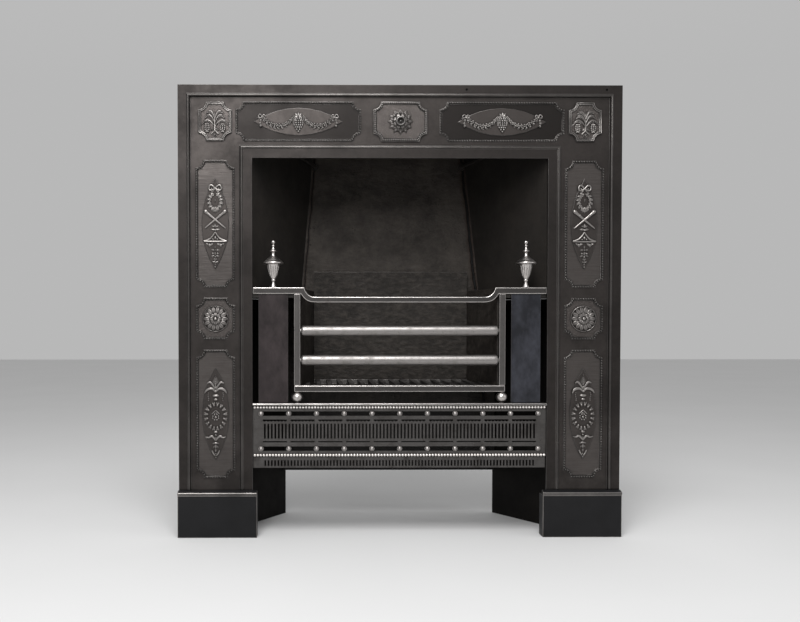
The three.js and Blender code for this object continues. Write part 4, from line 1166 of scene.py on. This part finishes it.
def pierced_tree(name, rows):
    """A flat upright plate, pierced by rows of slots."""
    def fill(tree, takes, gives):
        outline = add(tree, "GeometryNodeCurvePrimitiveQuadrilateral", {
            "Width": takes["Width"],
            "Height": maths(tree, "SUBTRACT", takes["Top"], takes["Bottom"])})
        middle = maths(tree, "MULTIPLY", maths(tree, "ADD", takes["Top"], takes["Bottom"]), 0.5)
        up = add(tree, "ShaderNodeCombineXYZ", {"Y": middle})
        outline = add(tree, "GeometryNodeTransform",
                      {"Geometry": outline.outputs[0], "Translation": up.outputs[0]})
        loops = add(tree, "GeometryNodeJoinGeometry")
        tree.links.new(outline.outputs[0], loops.inputs[0])
        for row in rows:
            made = add(tree, "GeometryNodeGroup", {
                key: takes[value] if isinstance(value, str) else value
                for key, value in row.items()}, node_tree=slot_row())
            tree.links.new(made.outputs[0], loops.inputs[0])
        sheet = add(tree, "GeometryNodeFillCurve", {0: loops.outputs[0]}, mode="TRIANGLES")
        front = add(tree, "GeometryNodeExtrudeMesh", {
            "Mesh": sheet.outputs[0], "Offset Scale": takes["Thickness"], "Individual": False})
        back = add(tree, "GeometryNodeFlipFaces", {0: sheet.outputs[0]})
        both = add(tree, "GeometryNodeJoinGeometry")
        tree.links.new(front.outputs["Mesh"], both.inputs[0])
        tree.links.new(back.outputs[0], both.inputs[0])
        whole = add(tree, "GeometryNodeMergeByDistance", {0: both.outputs[0], "Distance": 1e-6})
        seat = add(tree, "ShaderNodeCombineXYZ", {"Y": takes["Back"]})
        upright = add(tree, "GeometryNodeTransform", {
            "Geometry": whole.outputs[0], "Translation": seat.outputs[0],
            "Rotation": (math.pi / 2, 0.0, 0.0)})
        ended(tree, upright.outputs[0], takes, gives)
    return once(name, "GeometryNodeTree", [
        ("Geometry", "Geometry"), ("Width", "Float", 0.667),
        ("Bottom", "Float", 0.18), ("Top", "Float", 0.29),
        ("Back", "Float", 0.0), ("Thickness", "Float", 0.003),
        ("Slot Width", "Float", 0.0034), ("Material", "Material"),
    ], [("Geometry", "Geometry")], fill)


def stud_tree():
    """Two rows of domed studs on low collars."""
    def fill(tree, takes, gives):
        half = maths(tree, "DIVIDE", takes["Diameter"], 2.0)
        ball = add(tree, "GeometryNodeMeshUVSphere", {"Segments": 24, "Rings": 12, "Radius": 1.0})
        collar = add(tree, "GeometryNodeMeshCylinder", {"Vertices": 24, "Radius": 1.0, "Depth": 1.0})
        dome = add(tree, "ShaderNodeCombineXYZ", {
            "X": maths(tree, "MULTIPLY", half, 0.9), "Y": takes["Rise"],
            "Z": maths(tree, "MULTIPLY", half, 0.9)})
        dome = add(tree, "GeometryNodeTransform",
                   {"Geometry": ball.outputs["Mesh"], "Scale": dome.outputs[0]})
        rim = add(tree, "ShaderNodeCombineXYZ", {"X": half, "Y": half,
                                                 "Z": maths(tree, "MULTIPLY", takes["Rise"], 0.5)})
        rim = add(tree, "GeometryNodeTransform", {
            "Geometry": collar.outputs["Mesh"], "Scale": rim.outputs[0],
            "Rotation": (math.pi / 2, 0.0, 0.0)})
        stud = add(tree, "GeometryNodeJoinGeometry")
        tree.links.new(dome.outputs[0], stud.inputs[0])
        tree.links.new(rim.outputs[0], stud.inputs[0])
        rows = add(tree, "GeometryNodeJoinGeometry")
        reach = maths(tree, "MULTIPLY", maths(tree, "SUBTRACT", takes["Count"], 1.0), takes["Pitch"])
        for level in ("Lower", "Upper"):
            line = level_line(tree, takes, reach, Y=takes["Front"], Z=takes[level])
            tree.links.new(line.outputs[0], rows.inputs[0])
        placed = add(tree, "GeometryNodeInstanceOnPoints",
                     {"Points": rows.outputs[0], "Instance": stud.outputs[0]})
        ended(tree, placed.outputs[0], takes, gives)
    return once("Stud rows", "GeometryNodeTree", [
        ("Geometry", "Geometry"), ("Count", "Int", 11),
        ("Pitch", "Float", 0.063), ("Diameter", "Float", 0.0106),
        ("Rise", "Float", 0.0058), ("Front", "Float", 0.0),
        ("Lower", "Float", 0.2), ("Upper", "Float", 0.28),
        ("Material", "Material"),
    ], [("Geometry", "Geometry")], fill)


# ---------------------------------------------------------------- operators

def panels():
    """(x, z, width, height) of every sunk panel."""
    made = [(side * LONG_PANEL_X, LINTEL, *LONG_PANEL) for side in (-1, 1)]
    for z, wide, high_ in (UPPER_PANEL, SMALL_PANEL, LOWER_PANEL):
        made += [(side * COLUMN, z, wide, high_) for side in (-1, 1)]
    return made


class FIREPLACE_OT_casting(bpy.types.Operator):
    """Soften and finish the cast surround"""

    bl_idname = "fireplace.casting"
    bl_label = "Casting"

    def execute(self, context):
        def choose(face):
            middle = face.calc_center_median() / MM
            if face.normal.y > -0.9:
                return 0
            depth = middle.y - FACE
            if abs(depth - GROUND) < 0.3:
                small = abs(middle.z - SMALL_PANEL[0]) < 60 or abs(middle.x) < 100
                return 4 if small else 0 if abs(middle.z - LINTEL) < 60 else 2
            if abs(depth - LENS_TOP) < 0.06 and abs(middle.x) > 80:
                return 3
            return 4 if abs(depth - PLAQUE_TOP) < 0.2 else 0
        made = dressed_copy("surround_casting", "surround_frame", [
            blacked_iron(), plain_iron("Rubbed arris"), brushed_ground(),
            plain_iron("Lens ground"), stippled_ground(),
        ], sizes().arris, choose)
        dress(made, "surround_frame", slot="frame_iron")
        return {"FINISHED"}


class FIREPLACE_OT_plinths(bpy.types.Operator):
    """Finish the two plinth blocks"""

    bl_idname = "fireplace.plinths"
    bl_label = "Plinths"

    def execute(self, context):
        dress_set([("plinth_block_", "plinth_", plain_iron("Plinth iron"),
                    plain_iron("Plinth arris"), 2 * sizes().arris)], "plinth_iron")
        return {"FINISHED"}


class FIREPLACE_OT_panel_edges(bpy.types.Operator):
    """Set the beads and fine lines round every panel"""

    bl_idname = "fireplace.panel_edges"
    bl_label = "Panel edges"

    def execute(self, context):
        s = sizes()

        def loops(boxes, inset, depth):
            return [[(px, depth, pz) for px, pz in scooped(*box, inset=inset)] for box in boxes]
        raised = [(0.0, LINTEL, *CENTRE)]
        corners = [(side * COLUMN, LINTEL, *PLAQUE) for side in (-1, 1)]
        for name, boxes, inset, depth, bead, pitch, material in (
            ("panel_beads", panels(), 1.9, PANEL_EDGE - 0.3, s.panel_bead, s.panel_pitch,
             plain_iron("Bead iron")),
            ("centre_panel_beads", raised, 3.4, CENTRE_EDGE - 0.9, s.centre_bead, s.centre_pitch,
             plain_iron("Rim iron")),
        ):
            made = grown(name, bead_tree(), {
                "Pitch": pitch, "Diameter": bead, "Depth": 0.95, "Material": material,
            }, paths(name, loops(boxes, inset, depth)))
            dress(made, slot="frame_iron")
        for name, width, material, lines in (
            ("panel_fillets", s.fillet, plain_iron("Bead iron"), loops(panels(), 5.2, GROUND)
             + loops(raised, 6.9, CENTRE_TOP) + loops(corners, 5.9, PLAQUE_TOP)),
            ("raised_rims", s.rim, plain_iron("Rim iron"), loops(raised, 0.9, CENTRE_EDGE + 0.5)
             + loops(corners, 1.1, PLAQUE_EDGE + 0.6) + loops(corners, 4.3, PLAQUE_EDGE + 0.9)),
        ):
            made = grown(name, fillet_tree(), {"Width": width, "Material": material},
                         paths(name, lines))
            dress(made, slot="frame_iron")
        return {"FINISHED"}


class FIREPLACE_OT_centre_panel(bpy.types.Operator):
    """Raise the middle panel of the lintel, with its rosette and boss"""

    bl_idname = "fireplace.centre_panel"
    bl_label = "Centre panel"

    def execute(self, context):
        outer = scooped(0.0, LINTEL, *CENTRE, steps=14)
        inner = scooped(0.0, LINTEL, *CENTRE, inset=5.0, steps=14)
        count = len(outer)
        points = [(x, FACE + depth, z) for outline, depth in
                  ((outer, CENTRE_EDGE), (outer, GROUND), (inner, CENTRE_TOP))
                  for x, z in outline]
        faces = sides_between(count, 0, count) + sides_between(count, 0, 2 * count)
        faces += [list(range(2 * count, 3 * count)), list(range(count, 2 * count))]
        mesh = solid_mesh("centre_panel", points, faces, [stippled_ground(), plain_iron("Rubbed arris")])
        obj = new_object("centre_panel", mesh)
        bevelled(obj, sizes().arris, 2, 40.0)
        obj = flattened(settle(obj))
        dress(obj, slot="frame_iron")

        c = Carving()
        seat = high("centre_rosette").y - FACE
        c.at(0.0, LINTEL, min(seat, CENTRE_TOP))
        c.most = 2.2
        c.bead(0, 0, 25.5, 1.4, sides=48, rings=4)
        petals(c, 12, 12.0, 29.5, 7.0, 3.4)
        petals(c, 12, 12.0, 25.0, 5.4, 2.4, turn=15.0)
        petals(c, 8, 7.0, 18.5, 9.6, 5.0, turn=22.5)
        petals(c, 8, 7.0, 17.0, 6.0, 4.4)
        for i in range(12):
            a = 2 * math.pi * i / 12
            c.bead(23.6 * math.cos(a), 23.6 * math.sin(a), 1.9, 3.6, sides=8)
        made = c.finished("lintel_rosette")
        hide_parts("centre_rosette")

        middle, front = LINTEL, low("rosette_boss").y
        outer = rounded([(0.0, 0.0), (10.6, 0.0), (11.2, 2.2), (11.6, 4.2), (10.4, 6.2), (8.4, 6.6),
                         (7.0, 5.8), (6.7, 4.6)], 2, 0.2)
        hollow = [(6.7, 4.6), (6.5, 0.9), (1.9, 0.7)]
        pin = rounded([(1.9, 0.7), (1.9, 3.8), (1.5, 5.2), (0.0, 5.6)], 2, 0.2)
        foot = front + 6.6
        parts = [turned(part, 40, lambda u, v, w: (u, foot - w, middle + v))
                 for part in (outer, hollow, pin)]
        points, faces = joined(parts)
        mesh = solid_mesh("rosette_pin", points, faces,
                          [polished("Post steel"), plain_iron("Burnt iron")], 50.0)
        # The hollow of the boss takes the dark burnt iron as painted shade in its recess.
        first = len(parts[0][1])
        for face in mesh.polygons[first:first + len(parts[1][1])]:
            face.material_index = 1
        dress(new_object("rosette_pin", mesh), "rosette_boss", slot="frame_iron")
        return {"FINISHED"}


class FIREPLACE_OT_lintel_carving(bpy.types.Operator):
    """Carve the flower swags and the corner palms of the lintel"""

    bl_idname = "fireplace.lintel_carving"
    bl_label = "Lintel carving"

    def execute(self, context):
        c = Carving()
        for side in (-1, 1):
            motif(c, side * LONG_PANEL_X, LINTEL, LENS_TOP, half_swag, lintel_middle)
        c.finished("swags")
        c = Carving()
        c.most = 1.4
        for side in (-1, 1):
            motif(c, side * COLUMN, LINTEL, PLAQUE_TOP, palms, palms_middle)
        c.finished("corner_palms")
        return {"FINISHED"}


class FIREPLACE_OT_jamb_carving(bpy.types.Operator):
    """Carve the torches, wreaths and rosettes of the jambs"""

    bl_idname = "fireplace.jamb_carving"
    bl_label = "Jamb carving"

    def execute(self, context):
        for name, z, half, middle in (
            ("torches", UPPER_PANEL[0], half_torches, torches_middle),
            ("wreaths", LOWER_PANEL[0], half_wreath, wreath_middle),
        ):
            c = Carving()
            for side in (-1, 1):
                motif(c, side * COLUMN, z, LENS_TOP, half, middle)
            c.finished(name)
        c = Carving()
        for side in (-1, 1):
            c.at(side * COLUMN, SMALL_PANEL[0], GROUND)
            ring(c, 28.6, 1.3, 2.6, 64)
            c.at(side * COLUMN, SMALL_PANEL[0], 3.0)
            petals(c, 14, 9.0, 28.5, 9.4, 2.6, crease=0.6)
            petals(c, 14, 9.0, 23.0, 5.0, 1.4, turn=180 / 14)
            c.at(side * COLUMN, SMALL_PANEL[0], 0.6)
            petals(c, 8, 3.0, 15.0, 9.0, 2.4, crease=0.6)
            c.bead(0, 0, 4.2, 2.6, sides=16, rings=4)
        c.finished("jamb_rosettes")
        return {"FINISHED"}


class FIREPLACE_OT_fire_chamber(bpy.types.Operator):
    """Finish the cheeks, fireback, throat, flap, stays and hobs"""

    bl_idname = "fireplace.fire_chamber"
    bl_label = "Fire chamber"

    def execute(self, context):
        burnt, edge = plain_iron("Burnt iron"), plain_iron("Burnt arris")
        arris = sizes().arris
        close = 0.3 * arris  # where a wide arris would open a joint
        dress_set([("fireback_slab", "fireback", fireback_iron(), edge, arris),
                   ("cheek_casting_", "cheek_", burnt, edge, close)], "back_iron")
        dress_set([
            ("throat_casting", "throat_plate", burnt, edge, arris),
            ("flap_casting", "register_flap", burnt, edge, arris, "flue_flap"),
            ("hob_side_casting_", "hob_side_", plain_iron("Sooted iron"), burnt, close),
            ("hob_top_", "hob_plate_", burnt, edge, close),
            ("stay_rod_", "stay_", burnt, edge, arris),
        ], "rough_iron")
        return {"FINISHED"}


class FIREPLACE_OT_basket(bpy.types.Operator):
    """Finish the fire basket, its bars, posts, feet and loose grate"""

    bl_idname = "fireplace.basket"
    bl_label = "Basket"

    def execute(self, context):
        s = sizes()
        plate, rubbed = plain_iron("Back plate iron"), plain_iron("Rubbed arris")
        bright = polished("Bright steel")
        dress_set([("back_plate_slab", "basket_back_plate", plate, rubbed, s.arris)], "back_iron")
        dress_set([
            ("side_plate_slab_", "basket_side_plate_", plate, plain_iron("Burnt arris"), s.arris),
            ("fire_grate", "bottom_grate", grate_iron(), rubbed, s.arris, "loose_grate"),
        ], "rough_iron")
        dress_set([
            ("steel_post_", "post_", polished("Post steel"), bright, 0.5 * s.rail_arris),
            ("bottom_bar_steel", "bottom_bar", polished("Rail steel"), bright, s.rail_arris),
        ], "polished_steel")
        for node in ("bar_upper", "bar_lower"):
            lo, hi = low(node), high(node)
            radius, end = (hi.z - lo.z) / 2, hi.x
            y, z = (lo.y + hi.y) / 2, (lo.z + hi.z) / 2
            half = [(0.0, end), (6.4, end), (6.6, end - 1.8), (8.6, end - 2.4), (9.4, end - 3.2),
                    (radius - 0.5, end - 4.6), (radius, end - 6.4), (radius, end - 14.0)]
            profile = [(r, -x) for r, x in half] + half[::-1]
            turned_piece(f"round_{node}", node, profile, 56,
                         lambda u, v, w: (w, y + u, z + v), polished("Bar steel"))
        for side in SIDES:
            node = f"ball_foot_{side}"
            lo, hi = low(node), high(node)
            x, y = (lo.x + hi.x) / 2, (lo.y + hi.y) / 2
            radius, z, tall = (hi.x - lo.x) / 2 + 1.4, (lo.z + hi.z) / 2, (hi.z - lo.z) / 2
            arc = [(radius * math.sqrt(1 - 0.86 * (k / 9) ** 2), tall * k / 9 * 0.9)
                   for k in range(-9, 10)]
            profile = [(0.0, -tall), (5.6, -tall), (5.2, -tall * 0.93), *arc,
                       (5.2, tall * 0.93), (5.6, tall), (0.0, tall)]
            turned_piece(f"steel_foot_{side}", node, profile, 40,
                         lambda u, v, w: (x + u, y + v, z + w), bright)
        return {"FINISHED"}


URN = [(0, 0), (7.6, 0), (7.8, 0.8), (7.6, 1.8), (6.0, 4.0), (4.2, 7.8), (3.3, 11.4), (3.4, 12.6),
       (4.8, 13.6), (5.4, 15.6), (4.8, 17.6), (4.4, 18.4), (5.4, 19.2), (7.2, 22.4), (9.4, 28.0),
       (11.3, 34.6), (13.1, 42.0), (14.8, 49.4), (15.4, 51.2), (15.4, 52.0),
       (20.6, 52.4), (22.8, 53.4), (23.3, 55.0), (22.6, 56.8), (19.4, 59.0), (16.4, 61.6), (13.6, 64.6),
       (10.4, 67.2), (7.4, 69.2), (5.4, 71.6), (4.4, 74.0), (3.5, 76.2), (3.8, 78.4), (5.6, 80.0),
       (8.0, 81.4), (8.2, 82.6), (6.0, 84.6), (4.3, 87.2), (2.5, 90.2), (2.2, 91.2), (3.6, 92.6),
       (4.1, 94.2), (3.4, 95.8), (1.9, 97.0), (2.1, 97.8), (4.3, 99.2), (5.0, 101.4), (4.6, 103.8),
       (3.0, 105.6), (0, 106.4)]


FLUTES = 12
FLUTED = (20.0, 51.5)  # the part of the urn that is fluted, up from its foot

# The left sweep of the rail: across, and up from the top or the bottom of the rail.
SWEEP_TOP = [(-216.4, -0.8), (-213.4, -8.8), (-207.6, -15.8), (-199.6, -20.4), (-189.0, -21.4)]
SWEEP_BOTTOM = [(-224.0, 18.8), (-219.2, 11.8), (-211.2, 4.8), (-200.4, 0.9), (-187.0, 0.0)]
SWEEP_STEPS = 16


class FIREPLACE_OT_finials(bpy.types.Operator):
    """Turn the two fluted urn finials"""

    bl_idname = "fireplace.finials"
    bl_label = "Finials"

    def execute(self, context):
        def flute(angle, along):
            fade = max(0.0, min(1.0, (along - FLUTED[0]) / 6.0, (FLUTED[1] - along) / 4.0))
            return 1.0 - 0.1 * fade * (1 - abs(math.sin(FLUTES // 2 * angle))) ** 1.5
        for side in SIDES:
            node = f"finial_{side}"
            lo, hi = low(node), high(node)
            x, y, z = (lo.x + hi.x) / 2, (lo.y + hi.y) / 2, lo.z
            turned_piece(f"urn_{side}", node, rounded(URN, 1, 0.25), 96,
                         lambda u, v, w: (x + u, y + v, z + w), polished("Bright steel"), 55.0, flute)
        return {"FINISHED"}


class FIREPLACE_OT_steel_front(bpy.types.Operator):
    """Finish the rail, the tinted pilasters and the shelf"""

    bl_idname = "fireplace.steel_front"
    bl_label = "Steel front"

    def execute(self, context):
        s = sizes()
        lo, hi = low("top_rail"), high("top_rail")
        top, bottom = hi.z, lo.z
        upper = [(-hi.x, top), (-217.6, top),
                 *bend([(x, top + up) for x, up in SWEEP_TOP], SWEEP_STEPS)]
        lower = [(-hi.x, bottom + 19.4), (-226.0, bottom + 19.4),
                 *bend([(x, bottom + up) for x, up in SWEEP_BOTTOM], SWEEP_STEPS)]
        outline = [*upper, *[(-x, z) for x, z in upper[::-1]], *[(-x, z) for x, z in lower],
                   *lower[::-1]]
        count = len(outline)
        points = [(x, lo.y, z) for x, z in outline] + [(x, hi.y, z) for x, z in outline]
        faces = sides_between(count, 0, count)
        faces += [list(range(count))[::-1], list(range(count, 2 * count))]
        obj = new_object("swept_rail", solid_mesh("swept_rail", points, faces,
                                                  [polished("Rail steel"), polished("Bright steel")]))
        bevelled(obj, s.rail_arris, 3, 50.0)
        dress(flattened(settle(obj)), "top_rail", slot="polished_steel")
        dress_set([("steel_shelf", "fret_shelf", polished("Fret steel"), polished("Bright steel"),
                    s.steel_arris)], "polished_steel")
        dress_set([("tinted_plate_", "pilaster_plate_", pilaster_steel(), polished("Post steel"),
                    s.steel_arris)], "blued_steel")
        return {"FINISHED"}


# The fret and its strip, in millimetres; levels are from the middle of the fret.
FRET_FRONT, FRET_BACK = 3.0, 6.0
LONG_SLOTS, LONG_SLOT = 10, 55.0
STUD_ROW, STUD_SLOT = 39.9, 10.4
THIN_UPPER, THIN_LOWER, THIN_SLOT, SCALLOP = 25.2, -24.1, 2.8, 2.2
TALL_SLOTS, TALL_PITCH, TALL_SLOT = 78, 7.956, 34.0
STRIP_SLOTS, STRIP_PITCH, STRIP_SLOT, STRIP_LEVEL = 83, 7.451, 13.2, 10.6
STUDS, STUD_RISE = 11, 5.8
TONGUE = 16.0

# The faces of a box whose corners run through x, then y, then z.
BOX = ((0, 1, 3, 2), (4, 6, 7, 5), (0, 4, 5, 1), (2, 3, 7, 6), (0, 2, 6, 4), (1, 5, 7, 3))


class FIREPLACE_OT_fret(bpy.types.Operator):
    """Pierce the fret and its lower strip, and set the studs and beads"""

    bl_idname = "fireplace.fret"
    bl_label = "Fret"

    def execute(self, context):
        s = sizes()
        lo, hi = low("fret_plate"), high("fret_plate")
        middle = (lo.z + hi.z) / 2
        front, back = FACE + FRET_FRONT, FACE + FRET_BACK
        half = high("fret_shelf").x
        wide = {"Count": LONG_SLOTS, "Pitch": s.stud_pitch, "Width": LONG_SLOT * MM,
                "Height": STUD_SLOT * MM}
        thin = {**wide, "Height": THIN_SLOT * MM}
        tree = pierced_tree("Fret plate", [
            {**wide, "Level": (middle + STUD_ROW) * MM},
            {**wide, "Level": (middle - STUD_ROW) * MM},
            {**thin, "Level": (middle + THIN_UPPER) * MM, "Cuts": 55, "Scallop": SCALLOP * MM},
            {**thin, "Level": (middle + THIN_LOWER) * MM},
            {"Count": TALL_SLOTS, "Pitch": TALL_PITCH * MM, "Width": "Slot Width",
             "Height": TALL_SLOT * MM, "Level": middle * MM},
        ])
        plate = grown("fret_sheet", tree, {
            "Width": 2 * half * MM, "Bottom": lo.z * MM, "Top": hi.z * MM, "Back": back * MM,
            "Thickness": (back - front) * MM, "Slot Width": s.tall_slot,
            "Material": polished("Fret steel"),
        })
        soften(plate.data, 30.0)
        dress(plate, "fret_plate", slot="polished_steel")
        parts = []
        for side in (-1, 1):
            for x1, near, far in ((half, 5.5, 9.3), (half + TONGUE, 8.3, 11.3)):
                corners = [(side * x, FACE + y, z) for x in (half - TONGUE, x1)
                           for y in (near, far) for z in (lo.z, hi.z)]
                parts.append((corners, [list(loop) for loop in BOX]))
        tongues = solid_mesh("fret_tongues", *joined(parts), [polished("Fret steel")])
        dress(new_object("fret_tongues", tongues), slot="polished_steel")
        studs = grown("fret_studs", stud_tree(), {
            "Count": STUDS, "Pitch": s.stud_pitch, "Diameter": s.stud, "Rise": STUD_RISE * MM,
            "Front": front * MM, "Lower": (middle - STUD_ROW) * MM,
            "Upper": (middle + STUD_ROW) * MM, "Material": polished("Stud steel"),
        })
        soften(studs.data, 50.0)
        dress(studs, slot="polished_steel")
        lo, hi = low("fret_lower_strip"), high("fret_lower_strip")
        tree = pierced_tree("Lower strip", [
            {"Count": STRIP_SLOTS, "Pitch": STRIP_PITCH * MM, "Width": "Slot Width",
             "Height": STRIP_SLOT * MM, "Level": (lo.z + STRIP_LEVEL) * MM},
        ])
        strip = grown("fret_strip", tree, {
            "Width": 2 * half * MM, "Bottom": lo.z * MM, "Top": hi.z * MM, "Back": hi.y * MM,
            "Thickness": (hi.y - lo.y) * MM, "Slot Width": s.strip_slot,
            "Material": polished("Fret steel"),
        })
        soften(strip.data, 30.0)
        dress(strip, "fret_lower_strip", slot="polished_steel")
        for level in ("upper", "lower"):
            node = f"bead_rod_{level}"
            lo, hi = low(node), high(node)
            z = (lo.z + hi.z) / 2
            end = hi.x - 3.2
            row = paths(node, [[(-end, 1.9, z), (end, 1.9, z)]], closed=False)
            made = grown(f"bead_row_{level}", bead_tree(), {
                "Pitch": s.row_pitch, "Diameter": s.row_bead, "Depth": 1.0,
                "Material": polished("Bead steel"),
            }, row)
            dress(made, node, slot="polished_steel")
        return {"FINISHED"}


class FIREPLACE_OT_stage(bpy.types.Operator):
    """Set the floor, the lamps, the background and the camera"""

    bl_idname = "fireplace.stage"
    bl_label = "Stage"

    def execute(self, context):
        scene = context.scene
        mesh = bpy.data.meshes.new("floor")
        mesh.from_pydata([(-9, -9, 0), (9, -9, 0), (9, 9, 0), (-9, 9, 0)], [], [(0, 1, 2, 3)])

        def paint(tree, where, shader):
            cloud = noise(tree, where, 2.0, 2.0)
            tone = blend(tree, cloud, (0.6, 0.6, 0.6, 1.0), (0.64, 0.64, 0.64, 1.0))
            tree.links.new(tone, shader.inputs["Base Color"])
            shader.inputs["Roughness"].default_value = 0.9
        mesh.materials.append(finish("Pale floor", paint))
        new_object("floor", mesh)

        world = bpy.data.worlds.new("Studio")
        world.use_nodes = True
        sky = world.node_tree
        towards = sky.nodes.new("ShaderNodeTexCoord").outputs["Generated"]
        up = add(sky, "ShaderNodeSeparateXYZ", {0: towards}).outputs["Z"]
        soft = blend(sky, ramp(sky, up, 0.25, 0.95), (0.48, 0.48, 0.48, 1.0), (0.6, 0.6, 0.6, 1.0))
        sky.links.new(soft, sky.nodes["Background"].inputs["Color"])
        scene.world = world
        for name, place, aim, size, power in (
            ("key", (-0.25, -1.5, 2.5), (0.0, 0.0, 0.55), 1.2, 54.0),
            ("front", (-0.7, -2.7, 1.9), (0.0, 0.0, 0.5), 0.8, 30.0),
            ("side", (2.4, -1.2, 1.2), (0.0, 0.0, 0.5), 1.4, 5.0),
        ):
            lamp = bpy.data.lights.new(name, "AREA")
            lamp.shape, lamp.size, lamp.energy = "SQUARE", size, power
            made = new_object(name, lamp)
            made.location = place
            made.rotation_euler = (Vector(aim) - Vector(place)).to_track_quat("-Z", "Y").to_euler()

        camera = bpy.data.cameras.new("camera")
        camera.lens = 39.8
        camera.shift_x, camera.shift_y = 0.110, 0.0398
        made = new_object("camera", camera)
        made.location = (-0.2174, -2.1441, 0.4914)
        made.rotation_euler = (math.pi / 2 - 0.0253, 0.0, -0.0091)
        scene.camera = made
        scene.view_settings.view_transform = "Standard"
        return {"FINISHED"}


STEPS = (
    FIREPLACE_OT_stage, FIREPLACE_OT_casting, FIREPLACE_OT_plinths, FIREPLACE_OT_panel_edges,
    FIREPLACE_OT_centre_panel, FIREPLACE_OT_lintel_carving, FIREPLACE_OT_jamb_carving,
    FIREPLACE_OT_fire_chamber, FIREPLACE_OT_basket, FIREPLACE_OT_finials,
    FIREPLACE_OT_steel_front, FIREPLACE_OT_fret,
)


class FIREPLACE_PT_panel(bpy.types.Panel):
    """Sizes, colours and steps of the fireplace"""

    bl_idname = "FIREPLACE_PT_panel"
    bl_label = "Fireplace"
    bl_space_type = "VIEW_3D"
    bl_region_type = "UI"
    bl_category = "Fireplace"

    def draw(self, context):
        for title, settings in (("Sizes", context.scene.grate_sizes),
                                ("Colours", context.scene.grate_colours)):
            self.layout.label(text=title)
            for name in settings.bl_rna.properties.keys():
                if name not in ("rna_type", "name"):
                    self.layout.prop(settings, name)
        for step in STEPS:
            self.layout.operator(step.bl_idname)


CLASSES = (GrateSizes, GrateColours, *STEPS, FIREPLACE_PT_panel)


def register():
    for made in CLASSES:
        bpy.utils.register_class(made)
    bpy.types.Scene.grate_sizes = bpy.props.PointerProperty(type=GrateSizes)
    bpy.types.Scene.grate_colours = bpy.props.PointerProperty(type=GrateColours)


def unregister():
    del bpy.types.Scene.grate_colours
    del bpy.types.Scene.grate_sizes
    for made in reversed(CLASSES):
        bpy.utils.unregister_class(made)


def main():
    register()
    for step in STEPS:
        family, name = step.bl_idname.split(".")
        getattr(getattr(bpy.ops, family), name)()


if __name__ == "__main__":
    main()
